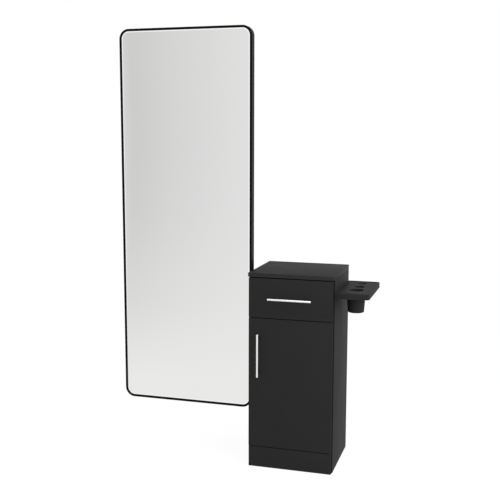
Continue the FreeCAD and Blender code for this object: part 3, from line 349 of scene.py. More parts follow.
def zinc():
    """Bright zinc plate with its faint crystals."""
    finish = Finish("zinc_plate", tone(178, 180, 184), 0.34, metallic=1.0)
    crystals = finish.cells(130)
    clouds = finish.noise(60, 3)
    finish.colour(crystals * 0.5 + clouds * 0.5, tone(160, 162, 168), tone(198, 199, 201))
    finish.roughness(0.26 + 0.18 * clouds)
    return finish.material


def screw_plate():
    finish = Finish("screw_plate", tone(168, 170, 174), 0.3, metallic=1.0)
    wear = finish.noise(400, 3)
    finish.colour(wear, tone(140, 142, 147), tone(190, 191, 193))
    finish.roughness(0.22 + 0.2 * wear)
    return finish.material


def powder_coat():
    """Black powder coat with its orange peel."""
    finish = Finish("black_powder_coat", tone(24), 0.45, 0.25)
    peel = finish.noise(520, 2)
    finish.colour(peel, tone(21), tone(27))
    finish.roughness(0.4 + 0.12 * peel)
    finish.bump(peel, 0.12 * MM, 0.5)
    return finish.material


def frame_coat():
    """The mirror frame's deep black satin coat."""
    finish = Finish("frame_satin_black", tone(4), 0.32, 0.07)
    drawn = finish.noise(30, 2, (1, 1, 0.06))
    finish.colour(drawn, tone(3), tone(5))
    finish.roughness(0.3 + 0.04 * drawn)
    return finish.material


def silvering():
    """Silvered glass, with the faintest haze from wiping."""
    finish = Finish("silvered_glass", (0.885, 0.888, 0.88, 1), 0.0, metallic=1.0)
    haze = finish.noise(7, 4, (1, 1, 0.35))
    finish.roughness(0.012 * finish.steps(haze, (0.45, 0), (0.8, 1)))
    return finish.material


def moulded_plastic():
    """Black moulded plastic with a fine spark-eroded grain."""
    finish = Finish("black_moulded_plastic", tone(43), 0.5, 0.06)
    grain = finish.cells(1100)
    clouds = finish.noise(9, 2)
    finish.colour(clouds, tone(41), tone(46))
    finish.roughness(0.46 + 0.1 * clouds)
    finish.bump(grain, 0.08 * MM, 0.5)
    return finish.material


def softwood():
    finish = Finish("planed_softwood", tone(196, 166, 118), 0.6, 0.3)
    rings = finish.noise(70, 4, (1, 1, 0.04))
    finish.colour(rings, tone(170, 134, 86), tone(214, 186, 138))
    finish.bump(rings, 0.1 * MM, 0.4)
    return finish.material


def nylon():
    finish = Finish("white_nylon", tone(228, 227, 222), 0.35)
    clouds = finish.noise(300, 2)
    finish.colour(clouds, tone(222, 221, 215), tone(233, 232, 228))
    return finish.material


def rubber():
    finish = Finish("soft_rubber", tone(150), 0.55, 0.4)
    clouds = finish.noise(500, 2)
    finish.colour(clouds, tone(142), tone(158))
    return finish.material


FRONT = laminate("front_laminate_black", 43)
CARCASS = laminate("carcass_laminate_black", 45, 0.055)
INNER = laminate("inner_laminate_black", 40)
BAND = edge_band("edge_band_black", 43)
# a lighter copy of the same edge band (48 against 43) for the top board's front edge: painted light on
# that edge
LIGHT_PAINTED_BAND = edge_band("edge_band_painted_light", 48)
# the band on the edges in the gaps between the fronts, and on the carcass's front edges behind them, is
# made much darker than the faces (20 against 43): painted shade in those gaps
SHADE_PAINTED_BAND = edge_band("edge_band_painted_shade", 20)
STEEL_ACROSS = brushed_steel("satin_steel_across", (0.01, 1, 1), 236)
STEEL_UPRIGHT = brushed_steel("satin_steel_upright", (1, 1, 0.01), 236)
# a darker copy of the handles' steel (62 against 236) for the posts: painted shade between the bar and
# the front
SHADE_PAINTED_STEEL = brushed_steel("steel_posts_painted_shade", (1, 0.01, 1), 62)
FINISHES = {
    "front_laminate": FRONT,
    "carcass_laminate": CARCASS,
    "inner_board": INNER,
    "drawer_board": pale_board(),
    "hardboard": hardboard(),
    "satin_steel": STEEL_ACROSS,
    "zinc_steel": zinc(),
    "screw_steel": screw_plate(),
    "black_steel": powder_coat(),
    "frame_aluminium": frame_coat(),
    "mirror_glass": silvering(),
    "softwood": softwood(),
    "black_plastic": moulded_plastic(),
    "white_nylon": nylon(),
    "clear_rubber": rubber(),
}

for node, obj in NODES.items():
    obj.data.materials.clear()
    obj.data.materials.append(FINISHES[SLOT_OF[node]])


# ---------------------------------------------------------------------------
# Mesh helpers
# ---------------------------------------------------------------------------


def block(low, high):
    """A box between two corners."""
    bm = bmesh.new()
    bmesh.ops.create_cube(bm, size=1)
    bmesh.ops.scale(bm, vec=high - low, verts=bm.verts)
    bmesh.ops.translate(bm, vec=(low + high) / 2, verts=bm.verts)
    return bm


def soften(bm, edges, radius, segments):
    """Round the edges."""
    bmesh.ops.bevel(
        bm, geom=edges, offset=radius, segments=segments, profile=0.5, affect="EDGES", material=-1
    )


def runs_along(edge, axis):
    return abs((edge.verts[1].co - edge.verts[0].co).normalized().dot(axis)) > 1 - WELD


def rounded_block(low, high, axis, radius, segments=CORNER_STEPS):
    """A box whose edges along the axis are round."""
    bm = block(low, high)
    soften(bm, [edge for edge in bm.edges if runs_along(edge, axis)], radius, segments)
    return bm


def arc(across, up, radius, start, end, count):
    """Points of a profile round a centre, from one angle to another in quarter turns."""
    turns = [(start + (end - start) * i / count) * QUARTER for i in range(count + 1)]
    return [(across + radius * math.cos(turn), up + radius * math.sin(turn)) for turn in turns]


def turned(profile, steps):
    """A solid turned about Z from points (radius, height) that end on the axis, or that close."""
    bm = bmesh.new()
    verts = [bm.verts.new((radius, 0, height)) for radius, height in profile]
    pairs = list(zip(verts, verts[1:]))
    if min(profile[0][0], profile[-1][0]) > WELD:
        pairs.append((verts[-1], verts[0]))
    edges = [bm.edges.new(pair) for pair in pairs]
    bmesh.ops.spin(
        bm, geom=verts + edges, angle=FULL_TURN, steps=steps, axis=Z, cent=(0, 0, 0), use_merge=True
    )
    bmesh.ops.remove_doubles(bm, verts=bm.verts, dist=WELD)
    bmesh.ops.recalc_face_normals(bm, faces=bm.faces)
    return bm


def stood(bm, place, direction=Z):
    """The mesh with its Z turned to the direction and its origin moved to the place."""
    turn = Z.rotation_difference(direction).to_matrix().to_4x4()
    bmesh.ops.transform(bm, matrix=Matrix.Translation(place) @ turn, verts=bm.verts)
    return bm


def gathered(parts):
    """Several meshes in one."""
    whole = bmesh.new()
    for part in parts:
        mesh = bpy.data.meshes.new("part")
        part.to_mesh(mesh)
        part.free()
        whole.from_mesh(mesh)
        bpy.data.meshes.remove(mesh)
    return whole


def combined(bm, operation, parts):
    """The mesh with the others cut out of it (DIFFERENCE) or joined to it (UNION)."""
    objects = []
    for one in [bm, gathered(parts)]:
        mesh = bpy.data.meshes.new("work")
        one.to_mesh(mesh)
        one.free()
        objects.append(bpy.data.objects.new("work", mesh))
        bpy.context.scene.collection.objects.link(objects[-1])
    target, tool = objects
    modifier = target.modifiers.new("combine", "BOOLEAN")
    modifier.operation = operation
    modifier.object = tool
    modifier.solver = "EXACT"
    modifier.use_self = True
    depsgraph = bpy.context.evaluated_depsgraph_get()
    made = bpy.data.meshes.new_from_object(target.evaluated_get(depsgraph))
    result = bmesh.new()
    result.from_mesh(made)
    for obj in objects:
        bpy.data.meshes.remove(obj.data)
    bpy.data.meshes.remove(made)
    return result


def piece(name, bm, node, materials=None, also=(), sharp=SHARP):
    """A finished piece that stands for a node and hides it: it rides on the node's body, sits in the
    node's place, and wears the finish of the node's slot unless it is given materials of its own.
    """
    mesh = bpy.data.meshes.new(name)
    for face in bm.faces:
        face.smooth = True
    bm.to_mesh(mesh)
    bm.free()
    mesh.set_sharp_from_angle(angle=sharp)
    for material in materials or [FINISHES[SLOT_OF[node]]]:
        mesh.materials.append(material)
    obj = bpy.data.objects.new(name, mesh)
    bpy.context.scene.collection.objects.link(obj)
    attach(obj, BODY_OF[node])
    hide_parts(node, *also)
    return obj


class Solid:
    """One separate solid of a node: its corners, and the end where it is widest."""

    def __init__(self, points):
        self.low = Vector([min(point[i] for point in points) for i in range(3)])
        self.high = Vector([max(point[i] for point in points) for i in range(3)])
        self.centre = (self.low + self.high) / 2
        self.size = self.high - self.low
        self.points = points

    def stand(self):
        """The head's middle, the way out of it, the length, and the radii of head and shank."""
        i = self.size[:].index(max(self.size))
        far = {}
        for level, sign in ((self.low[i], -1), (self.high[i], 1)):
            ring = [point for point in self.points if abs(point[i] - level) < WELD]
            far[sign] = max(self.flat(point, i) for point in ring)
        out = 1 if far[1] >= far[-1] else -1
        place = self.centre.copy()
        place[i] = self.high[i] if out > 0 else self.low[i]
        way = Vector([out if j == i else 0 for j in range(3)])
        return place, way, self.size[i], far[out], far[-out]

    def flat(self, point, i):
        """How far a point lies from the solid's middle line."""
        away = point - self.centre
        away[i] = 0
        return away.length


def solids(node):
    """The separate solids of a node."""
    bm = bmesh.new()
    bm.from_mesh(NODES[node].data)
    bmesh.ops.remove_doubles(bm, verts=bm.verts, dist=WELD)
    waiting = set(bm.verts)
    found = []
    while waiting:
        reached = [waiting.pop()]
        for vert in reached:
            for edge in vert.link_edges:
                other = edge.other_vert(vert)
                if other in waiting:
                    waiting.remove(other)
                    reached.append(other)
        found.append(Solid([vert.co.copy() for vert in reached]))
    bm.free()
    return sorted(found, key=lambda solid: solid.centre[:])


# ---------------------------------------------------------------------------
# Boards
# ---------------------------------------------------------------------------


def board(node, face, cuts=(), band=BAND, front_band=None):
    """A laminated board as large as its node: faces, banded edges and what is cut out of it."""
    low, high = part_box(node)
    bm = block(low, high)
    size = high - low
    thin = size[:].index(min(size))
    for side in bm.faces:
        if abs(side.normal[thin]) > 0.5:
            side.material_index = FACE_SLOT
        else:
            side.material_index = FRONT_EDGE_SLOT if side.normal.y < -0.5 else EDGE_SLOT
    soften(bm, bm.edges[:], EASE, EASE_STEPS)
    if cuts:
        bm = combined(bm, "DIFFERENCE", cuts)
    piece(f"{node}_laminated", bm, node, [face, band, front_band or band])


def bore(place, direction, radius, depth):
    """A cutter for a round blind hole that goes in at the place, against the direction."""
    profile = [(0, -depth), (radius, -depth), (radius, MM), (0, MM)]
    return stood(turned(profile, BORE_STEPS), place, direction)


def pin_bores(inner, inward):
    """The bores for shelf pins in a side's inner face."""
    rows = sorted({round(pin.centre.y, 6) for pin in solids("shelf_pins")})
    level = solids("shelf_pins")[0].centre.z
    places = [Vector((inner, row, level + PIN_PITCH * step)) for row in rows for step in PIN_LEVELS]
    return [bore(place, inward, PIN_BORE, PIN_BORE_DEPTH) for place in places]


def door_cuts():
    """Mortises for the pivot leaves and bores for the bushes, open at the door's ends."""
    cuts = []
    leaves, bushes = solids_by_level("door_pivot_leaves"), solids_by_level("pivot_bushes")
    for leaf, bush, way in zip(leaves, bushes, (-Z, Z)):
        low, high = leaf.low.copy(), leaf.high.copy()
        high.x += MM
        if way.z > 0:
            high.z += MM
        else:
            low.z -= MM
        cuts.append(block(low, high))
        end = bush.centre.copy()
        end.z = bush.high.z if way.z > 0 else bush.low.z
        cuts.append(bore(end, way, bush.size.x / 2 + FIT, bush.size.z))
    return cuts


def solids_by_level(node):
    return sorted(solids(node), key=lambda solid: solid.centre.z)


left_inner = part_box("left_side_panel")[1].x
right_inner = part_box("right_side_panel")[0].x

# the top board's front edge takes the lighter band: painted light
board("top_board", CARCASS, front_band=LIGHT_PAINTED_BAND)
# the sides', bottom's and divider's front edges and all the fronts' edges take the darker band: painted
# shade in the gaps between the parts
board("left_side_panel", CARCASS, pin_bores(left_inner, X), front_band=SHADE_PAINTED_BAND)
board("right_side_panel", CARCASS, pin_bores(right_inner, -X), front_band=SHADE_PAINTED_BAND)
board("back_panel", CARCASS)
board("bottom_board", INNER, front_band=SHADE_PAINTED_BAND)
board("divider_board", INNER, front_band=SHADE_PAINTED_BAND)
board("adjustable_shelf", INNER)
board("plinth_board", FRONT, band=SHADE_PAINTED_BAND)
board("drawer_front", FRONT, band=SHADE_PAINTED_BAND)
board("door_panel", FRONT, door_cuts(), SHADE_PAINTED_BAND)


# ---------------------------------------------------------------------------
# Bar handles
# ---------------------------------------------------------------------------


def bar_handle(node, finish, bar_axis, screws):
    """A round bar with eased ends on two posts, whose steel is darkened with painted shade."""
    low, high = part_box(node)
    size = high - low
    radius = min(size) / 2
    front = high.y
    centre = (low + high) / 2
    centre.y = low.y + radius
    half = max(size) / 2
    across, up = radius - BAR_EASE, half - BAR_EASE
    profile = [(0, -half)] + arc(across, -up, BAR_EASE, -1, 0, BAR_EASE_STEPS)
    profile += arc(across, up, BAR_EASE, 0, 1, BAR_EASE_STEPS) + [(0, half)]
    bar = stood(turned(profile, BAR_STEPS), centre, bar_axis)
    reach = front - centre.y
    stem = [(0, 0), (POST_RADIUS, 0), (POST_RADIUS, reach), (0, reach)]
    places = [Vector((screw.centre.x, front, screw.centre.z)) for screw in solids(screws)]
    posts = [stood(turned(stem, POST_STEPS), place, -Y) for place in places]
    bar = combined(bar, "UNION", posts)
    # the posts, between the bar and the front, take the darker steel: painted shade
    for face in bar.faces:
        face.material_index = int(face.calc_center_median().y > centre.y + radius)
    piece(f"{node}_turned", bar, node, [finish, SHADE_PAINTED_STEEL])


bar_handle("drawer_handle", STEEL_ACROSS, X, "drawer_handle_screws")
bar_handle("door_handle", STEEL_UPRIGHT, Z, "door_handle_screws")


# ---------------------------------------------------------------------------
# Screws, cams, bolts, washers, pins and bumpers
# ---------------------------------------------------------------------------


def cross_recess(radius, depth):
    """A cutter for a cross recess that narrows downwards, with its mouth at the origin."""
    arms = []
    for direction in (X, Y):
        width = (X + Y) * radius * RECESS_WIDTH + direction * radius * (RECESS_ARM - RECESS_WIDTH)
        width.z = depth
        arm = block(-width, width)
        bottom = [vert for vert in arm.verts if vert.co.z < 0]
        bmesh.ops.scale(arm, vec=(RECESS_NARROWING, RECESS_NARROWING, 1), verts=bottom)
        arms.append(arm)
    return arms


def thread(radius, start, end):
    """A profile's ridges, from one height down to another."""
    points = []
    for i in range(int((start - end) / THREAD_PITCH)):
        level = start - THREAD_PITCH * i
        crest, root = level - THREAD_PITCH / 4, level - THREAD_PITCH * 3 / 4
        points += [(radius, crest), (radius * THREAD_ROOT, root)]
    return points


def dome(inner, outer, top, fall):
    """A profile's points on a quarter of an oval, from the top down to the outer radius."""
    turns = [QUARTER * i / DOME_STEPS for i in range(1, DOME_STEPS + 1)]
    width = outer - inner
    return [(inner + width * math.sin(turn), top - fall * (1 - math.cos(turn))) for turn in turns]


def round_screw(length, head, shank):
    """A pan-headed wood screw whose head's top is at the origin."""
    height = head * PAN_HEIGHT
    seat = -height * PAN_SEAT
    profile = [(0, 0)] + dome(0, head, 0, height) + [(head, seat), (shank, seat)]
    profile += thread(shank, -height * PAN_NECK, shank - length) + [(0, -length)]
    recess = cross_recess(head, height * PAN_RECESS)
    return combined(turned(profile, SCREW_STEPS), "DIFFERENCE", recess)


def sunk_screw(length, head, shank):
    """A countersunk wood screw whose head's flat top is at the origin."""
    rim = head * SUNK_RIM
    profile = [(0, 0), (rim, 0), (rim, -SUNK_RIM_HEIGHT), (shank, -head * SUNK_HEIGHT)]
    profile += thread(shank, -head * SUNK_NECK, shank - length) + [(0, -length)]
    recess = cross_recess(head, head * SUNK_RECESS)
    return combined(turned(profile, SCREW_STEPS), "DIFFERENCE", recess)


def fitted(name, node, make):
    """A piece for every solid of a node, each made from its length and radii and stood in its place."""
    parts = []
    for solid in solids(node):
        place, way, length, wide, narrow = solid.stand()
        parts.append(stood(make(length, wide, narrow), place, way))
    piece(name, gathered(parts), node)


def cam(solid):
    """A die-cast cam with a rim and a cross for the driver, just proud of its board."""
    radius, dish = CAM_RADIUS, CAM_DISH
    profile = [(0, -dish), (radius * CAM_DISH_RADIUS, -dish), (radius * CAM_RIM_RADIUS, 0)]
    profile += arc(radius - dish, -dish, dish, 1, 0, EASE_STEPS)
    profile += [(radius, -CAM_DISC), (0, -CAM_DISC)]
    recess = cross_recess(radius * CAM_CROSS_RADIUS, CAM_CROSS)
    disc = combined(turned(profile, DISC_STEPS), "DIFFERENCE", recess)
    x, y, z = solid.centre
    if x < left_inner:
        return stood(disc, Vector((left_inner + CAM_PROUD, y, z)), X)
    if x > right_inner:
        return stood(disc, Vector((right_inner - CAM_PROUD, y, z)), -X)
    return stood(disc, Vector((x, y, solid.low.z - CAM_PROUD)), -Z)


def washer(solid):
    """A flat round washer with eased outer edges."""
    radius, ease = WASHER_RADIUS, WASHER_EASE
    half = solid.size.x / 2
    profile = [(WASHER_BORE, -half), (radius - ease, -half), (radius, ease - half)]
    profile += [(radius, half - ease), (radius - ease, half), (WASHER_BORE, half)]
    return stood(turned(profile, DISC_STEPS), solid.centre, X)


def button_bolt(length, head, shank):
    """A button-headed bolt with a hexagon socket, its head's top at the origin."""
    height = BUTTON_HEIGHT
    flat = head * BUTTON_FLAT
    profile = [(0, 0), (flat, 0)] + dome(flat, head, 0, height * BUTTON_DOME)
    profile += [(head, -height), (shank, -height), (shank, -length), (0, -length)]
    depth, corner = height * SOCKET_DEPTH, head * SOCKET_RADIUS
    socket = turned([(0, -depth), (corner, -depth), (corner, MM), (0, MM)], SOCKET_SIDES)
    return combined(turned(profile, BUTTON_STEPS), "DIFFERENCE", [socket])


def shelf_pin(solid):
    """A turned pin with a collar against the side."""
    if solid.centre.x < 0:
        inward, wall, outer, inner = X, left_inner, solid.low.x, solid.high.x
    else:
        inward, wall, outer, inner = -X, right_inner, solid.high.x, solid.low.x
    deep, reach = abs(wall - outer), abs(inner - wall)
    radius, collar, ease = SHELF_PIN_RADIUS, SHELF_PIN_COLLAR, SHELF_PIN_EASE
    profile = [(0, -deep), (radius, -deep), (radius, 0), (collar, 0), (collar, SHELF_PIN_COLLAR_HEIGHT)]
    profile += [(radius, SHELF_PIN_COLLAR_HEIGHT)]
    profile += arc(radius - ease, reach - ease, ease, 0, 1, EASE_STEPS) + [(0, reach)]
    pin = turned(profile, BORE_STEPS)
    return stood(pin, Vector((wall, solid.centre.y, solid.centre.z)), inward)


def bumper(solid):
    """A domed soft dot stuck on the front edge of a side."""
    height = solid.size.y
    rise = dome(0, BUMPER_RADIUS, height, height * (1 - BUMPER_RIM))[::-1]
    profile = [(0, 0), (BUMPER_RADIUS, 0)] + rise + [(0, height)]
    dot = turned(profile, BUMPER_STEPS)
    return stood(dot, Vector((solid.centre.x, solid.high.y, solid.centre.z)), -Y)


for group in (
    "base_screws", "slide_screws", "drawer_slide_screws", "drawer_front_screws",
    "drawer_handle_screws", "door_handle_screws", "tool_holder_screws",
):
    fitted(f"{group}_cross_headed", group, round_screw)
for group in ("pivot_arm_screws", "door_leaf_screws"):
    fitted(f"{group}_cross_headed", group, sunk_screw)
fitted("mirror_bolts_button_headed", "mirror_bolts", button_bolt)
for group, look, make in (
    ("cam_locks", "die_cast", cam),
    ("mirror_bolt_washers", "round", washer),
    ("shelf_pins", "turned", shelf_pin),
    ("front_bumpers", "domed", bumper),
):
    piece(f"{group}_{look}", gathered([make(solid) for solid in solids(group)]), group)


# ---------------------------------------------------------------------------
# Mirror
# ---------------------------------------------------------------------------


def drawn_on(bm, edges):
    """The verts and edges of a section drawn out of these edges, still in the same place."""
    made = bmesh.ops.extrude_edge_only(bm, edges=edges)["geom"]
    ends = [item for item in made if isinstance(item, bmesh.types.BMVert)]
    return ends, [item for item in made if isinstance(item, bmesh.types.BMEdge)]


def mirror_frame():
    """A drawn section, two lips on a thin wall, bent round four corners and welded."""
    low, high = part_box("mirror_frame")
    wall, lip = FRAME_WALL, FRAME_LIP
    front, rear = low.y, high.y
    # the section at the middle of the right side: (distance in from the outside, depth)
    section = [(0, front), (lip, front), (lip, front + LIP_THICKNESS), (wall, front + LIP_THICKNESS)]
    section += [(wall, rear - LIP_THICKNESS), (lip, rear - LIP_THICKNESS), (lip, rear), (0, rear)]
    bm = bmesh.new()
    start = (low.z + high.z) / 2
    verts = [bm.verts.new((high.x - inward, depth, start)) for inward, depth in section]
    edges = [bm.edges.new(pair) for pair in zip(verts, verts[1:] + verts[:1])]
    corners = [
        (Vector((high.x - FRAME_CORNER, 0, high.z - FRAME_CORNER)), Z),
        (Vector((low.x + FRAME_CORNER, 0, high.z - FRAME_CORNER)), -X),
        (Vector((low.x + FRAME_CORNER, 0, low.z + FRAME_CORNER)), -Z),
        (Vector((high.x - FRAME_CORNER, 0, low.z + FRAME_CORNER)), X),
    ]
    for centre, way in corners:
        # a straight run up to the corner, and then a quarter turn round its centre
        here = sum((edge.verts[0].co for edge in edges), Vector()) / len(edges)
        run = (centre - here).dot(way)
        ends, edges = drawn_on(bm, edges)
        bmesh.ops.translate(bm, vec=way * run, verts=ends)
        turn = bmesh.ops.spin(
            bm, geom=ends + edges, cent=centre, axis=-Y, angle=QUARTER, steps=CORNER_STEPS,
            use_duplicate=False,
        )["geom_last"]
        edges = [item for item in turn if isinstance(item, bmesh.types.BMEdge)]
    ends, edges = drawn_on(bm, edges)
    bmesh.ops.translate(bm, vec=(0, 0, start - ends[0].co.z), verts=ends)
    bmesh.ops.remove_doubles(bm, verts=bm.verts, dist=FRAME_SEAM)
    bmesh.ops.recalc_face_normals(bm, faces=bm.faces)
    obj = piece("mirror_frame_drawn", bm, "mirror_frame")
    ease = obj.modifiers.new("eased_edges", "BEVEL")
    ease.width = FRAME_EASE
    ease.segments = 2
    ease.harden_normals = True
    ease.limit_method = "ANGLE"
    ease.angle_limit = FRAME_EASED_FROM


def mirror_glass(node, outward):
    """A silvered plate with round corners and a wide bevel on the face that is seen."""
    low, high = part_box(node)
    corner = FRAME_CORNER - (low.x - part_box("mirror_frame")[0].x)
    seen = low.y if outward.y < 0 else high.y
    ledge = seen - outward.y * GLASS_BEVEL_DEPTH
    near, far = low.copy(), high.copy()
    if outward.y < 0:
        near.y = ledge
    else:
        far.y = ledge
    bm = rounded_block(near, far, Y, corner)
    faces = [face for face in bm.faces if face.normal.dot(outward) > 0.9]
    bmesh.ops.inset_region(bm, faces=faces, thickness=GLASS_BEVEL, depth=0, use_even_offset=True)
    verts = list({vert for face in faces for vert in face.verts})
    bmesh.ops.translate(bm, vec=outward * GLASS_BEVEL_DEPTH, verts=verts)
    piece(f"{node}_bevelled", bm, node, sharp=GLASS_BEVEL_SHARP)


mirror_frame()
mirror_glass("front_mirror_glass", -Y)
mirror_glass("rear_mirror_glass", Y)


# ---------------------------------------------------------------------------
# Tool holder and cup
# ---------------------------------------------------------------------------

cup_low, cup_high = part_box("dryer_cup")
cup_middle = (cup_low + cup_high) / 2
deck_under = cup_high.z


def hole_places():
    """The middles of the three holes on the deck's underside, from the front."""
    rows = [cup_middle.y + HOLE_SPACING * i for i in range(len(HOLE_RADII))]
    return [Vector((cup_middle.x, row, deck_under)) for row in rows]


def tool_holder():
    """A moulded tray, hollow below: a raised rim, sleeves round its holes, ribs and screw bosses."""
    low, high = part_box("tool_holder")
    deck_top = high.z - HOLDER_RIM_HEIGHT
    bm = block(low, high)
    outermost = high.x - WELD
    outer_foot = [vert for vert in bm.verts if vert.co.x > outermost and vert.co.z < low.z + WELD]
    bmesh.ops.translate(bm, vec=(0, 0, HOLDER_SKIRT_RISE), verts=outer_foot)
    upright = [edge for edge in bm.edges if runs_along(edge, Z) and edge.verts[0].co.x > outermost]
    soften(bm, upright, HOLDER_CORNER, HOLDER_CORNER_STEPS)
    top = [edge for edge in bm.edges if min(vert.co.z for vert in edge.verts) > high.z - WELD]
    rim = [edge for edge in top if max(vert.co.x for vert in edge.verts) > low.x + WELD]
    soften(bm, rim, HOLDER_EDGE, HOLDER_EDGE_STEPS)
    wall = Vector((HOLDER_WALL, HOLDER_WALL, 0))
    hollow = rounded_block(
        Vector((low.x, low.y, low.z - HOLDER_WALL)) + wall,
        Vector((high.x, high.y, deck_under)) - wall,
        Z, HOLDER_CORNER - HOLDER_WALL, HOLDER_INNER_STEPS,
    )
    margin = Vector((HOLDER_RIM, HOLDER_RIM, 0))
    recess = rounded_block(
        Vector((low.x, low.y, deck_top)) + margin,
        Vector((high.x, high.y, high.z + HOLDER_WALL)) - margin,
        Z, HOLDER_RECESS_CORNER, HOLDER_INNER_STEPS,
    )
    bm = combined(bm, "DIFFERENCE", [hollow, recess])
    over = MM / 2
    added = []
    for place, radius in zip(hole_places(), HOLE_RADII):
        outside = radius + SLEEVE_WALL
        foot = -SLEEVE_DEPTH
        profile = [(0, foot), (outside - SLEEVE_EASE, foot), (outside, foot + SLEEVE_EASE)]
        added.append(stood(turned(profile + [(outside, over), (0, over)], MOULDED_STEPS), place))
    half = RIB_THICKNESS / 2
    rims = [(place.y - radius, place.y + radius) for place, radius in zip(hole_places(), HOLE_RADII)]
    for near, far in zip(rims, rims[1:]):
        row = (near[1] + far[0]) / 2
        rib_low = Vector((low.x + HOLDER_WALL / 2, row - half, deck_under - RIB_DEPTH))
        rib_high = Vector((high.x - HOLDER_WALL / 2, row + half, deck_under + over))
        added.append(block(rib_low, rib_high))
    screws = solids("tool_holder_screws")
    for screw in screws:
        place = Vector((low.x + HOLDER_WALL - over, screw.centre.y, screw.centre.z))
        length = BOSS_LENGTH - HOLDER_WALL + over
        boss = [(0, 0), (BOSS_RADIUS, 0)]
        boss += arc(BOSS_RADIUS - MM, length - MM, MM, 0, 1, EASE_STEPS) + [(0, length)]
        added.append(stood(turned(boss, BOSS_STEPS), place, X))
    bm = combined(bm, "UNION", added)
    cutters = []
    for place, radius in zip(hole_places(), HOLE_RADII):
        top = deck_top - deck_under
        mouth = radius + HOLE_EDGE
        turn = arc(0, 0, HOLE_EDGE, 0, 1, HOLE_EDGE_STEPS)
        flare = [(mouth - across, top - HOLE_EDGE + up) for across, up in turn]
        profile = [(0, -SLEEVE_DEPTH - MM), (radius, -SLEEVE_DEPTH - MM)] + flare
        profile += [(mouth, top + MM), (0, top + MM)]
        cutters.append(stood(turned(profile, MOULDED_STEPS), place))
    bm = combined(bm, "DIFFERENCE", cutters)
    piece("tool_holder_moulded", bm, "tool_holder")


def dryer_cup():
    """A tapered cup on the first hole's sleeve, its base open for a cable."""
    top = CUP_TOP_RADIUS
    height = cup_high.z - cup_low.z
    socket = HOLE_RADII[0] + SLEEVE_WALL + FIT
    shoulder = height - SLEEVE_DEPTH - FIT
    edge, rim = CUP_BASE_EDGE, CUP_RIM_EDGE
    inside = CUP_BASE_RADIUS - CUP_WALL
    profile = [(CUP_DRAIN, 0)]
    profile += arc(CUP_BASE_RADIUS - edge, edge, edge, -1, 0, CUP_BASE_EDGE_STEPS)
    profile += arc(top - rim, height - rim, rim, 0, 1, EASE_STEPS)
    profile += [(socket, height), (socket, shoulder), (HOLE_RADII[0], shoulder)]
    profile += [(inside, CUP_WALL + MM), (inside - MM, CUP_WALL), (CUP_DRAIN, CUP_WALL)]
    cup = stood(turned(profile, CUP_STEPS), Vector((cup_middle.x, cup_middle.y, cup_low.z)))
    piece("dryer_cup_moulded", cup, "dryer_cup")


tool_holder()
dryer_cup()


# ---------------------------------------------------------------------------
# Studio
# ---------------------------------------------------------------------------

FILL = 0.62
SEEN = 1.0
# What gloss sees, by direction: the walls from left to right, how far they go over to one level
# towards the floor, the lighter floor and ceiling, and the darker rear.
WALL_STOPS = (
    (0.2, 1.05), (0.265, 1.05), (0.2935, 0.675), (0.312, 0.736), (0.334, 0.787), (0.353, 0.826),
    (0.375, 0.84), (0.42, 1.05), (1, 1.05),
)
LOWER_STOPS = ((0.36, 1), (0.4, 0.45), (0.4525, 0.08), (0.49, 0))
LOWER_LEVEL = 0.915
END_STOPS = ((0.285, 1), (0.32, 0), (0.585, 0), (0.625, 1))
END_LEVEL = 1.05
REAR_STOPS = ((0.5, 1), (0.75, 0.52))

FLOOR_SIZE = 30
FLOOR_WHITE = (0.9, 0.9, 0.9, 1)
FLOOR_GLOW = 1.12
FLOOR_GLOW_SHARE = 0.8

# square lamps: name, place, size and power
SOFTBOXES = (
    ("right_softbox", (3.2, -1.6, 2.2), 2.0, 50),
    ("top_softbox", (0.2, -0.8, 3.6), 2.4, 25),
)
LAMP_AIM = Vector((0, 0, 0.8))


def sky():
    """Plain light all round; the camera sees white, and gloss sees a soft, uneven studio."""
    world = bpy.data.worlds.new("studio")
    world.use_nodes = True
    bpy.context.scene.world = world
    nodes = Nodes(world.node_tree)
    direction = nodes.add("ShaderNodeTexCoord", output="Generated")

    def level(axis, stops):
        """The level by how far the direction points along an axis, from 0 against it to 1 along it."""
        part = nodes.add("ShaderNodeSeparateXYZ", inputs={"Vector": direction}, output=axis)
        return nodes.add("ShaderNodeValToRGB", {"stops": stops}, {"Fac": part * 0.5 + 0.5})

    wall, rear = level("X", WALL_STOPS), level("Y", REAR_STOPS)
    lower, ends = level("Z", LOWER_STOPS), level("Z", END_STOPS)
    middle = wall + lower * (LOWER_LEVEL - wall)
    gloss = (middle + ends * (END_LEVEL - middle)) * rear
    camera = nodes.add("ShaderNodeLightPath", output="Is Camera Ray")
    glossy = nodes.add("ShaderNodeLightPath", output="Is Glossy Ray")
    strength = camera * SEEN + glossy * gloss + (1 - camera - glossy) * FILL
    nodes.feed(world.node_tree.nodes["Background"].inputs["Strength"], strength)
    world.node_tree.nodes["Background"].inputs["Color"].default_value = (1, 1, 1, 1)


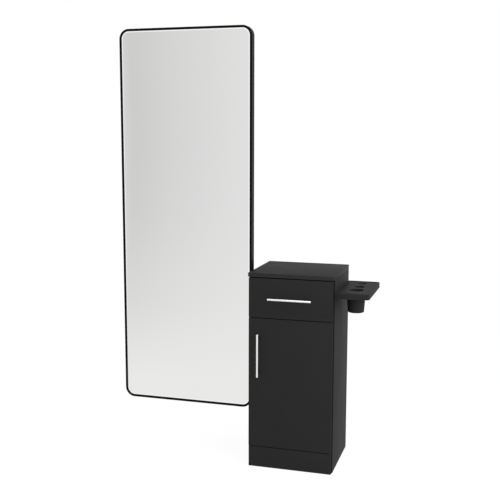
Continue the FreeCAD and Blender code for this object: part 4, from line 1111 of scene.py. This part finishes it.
def floor():
    """A wide white floor that keeps a soft shadow under the station, and which gloss looks through."""
    bm = bmesh.new()
    bmesh.ops.create_grid(bm, x_segments=1, y_segments=1, size=FLOOR_SIZE)
    mesh = bpy.data.meshes.new("floor")
    bm.to_mesh(mesh)
    bm.free()
    obj = bpy.data.objects.new("floor", mesh)
    bpy.context.scene.collection.objects.link(obj)
    material = bpy.data.materials.new("floor_white")
    material.use_nodes = True
    nodes = Nodes(material.node_tree)
    matt = nodes.add("ShaderNodeBsdfDiffuse", inputs={"Color": FLOOR_WHITE})
    glow = nodes.add("ShaderNodeEmission", inputs={"Strength": FLOOR_GLOW})
    clear = nodes.add("ShaderNodeBsdfTransparent")
    camera = nodes.add("ShaderNodeLightPath", output="Is Camera Ray")
    glossy = nodes.add("ShaderNodeLightPath", output="Is Glossy Ray")
    seen = nodes.add("ShaderNodeMixShader", inputs={0: camera * FLOOR_GLOW_SHARE, 1: matt, 2: glow})
    mixed = nodes.add("ShaderNodeMixShader", inputs={0: glossy, 1: seen, 2: clear})
    nodes.feed(material.node_tree.nodes["Material Output"].inputs["Surface"], mixed)
    mesh.materials.append(material)


def softbox(name, place, size, power):
    """A square lamp turned towards the cabinet."""
    lamp = bpy.data.lights.new(name, "AREA")
    lamp.size = size
    lamp.energy = power
    obj = bpy.data.objects.new(name, lamp)
    obj.location = place
    obj.rotation_euler = (LAMP_AIM - Vector(place)).to_track_quat("-Z", "Y").to_euler()
    bpy.context.scene.collection.objects.link(obj)


def camera():
    """A camera at the fitted place, turned by yaw, pitch and roll."""
    data = bpy.data.cameras.new("camera")
    data.lens = CAMERA_LENS
    data.sensor_width = CAMERA_SENSOR
    obj = bpy.data.objects.new("camera", data)
    turn = Matrix.Rotation(CAMERA_YAW, 4, "Z") @ Matrix.Rotation(QUARTER - CAMERA_PITCH, 4, "X")
    obj.matrix_world = Matrix.Translation(CAMERA_PLACE) @ turn @ Matrix.Rotation(CAMERA_ROLL, 4, "Z")
    bpy.context.scene.collection.objects.link(obj)
    bpy.context.scene.camera = obj


sky()
floor()
for box in SOFTBOXES:
    softbox(*box)
camera()
bpy.context.scene.view_settings.view_transform = "Standard"
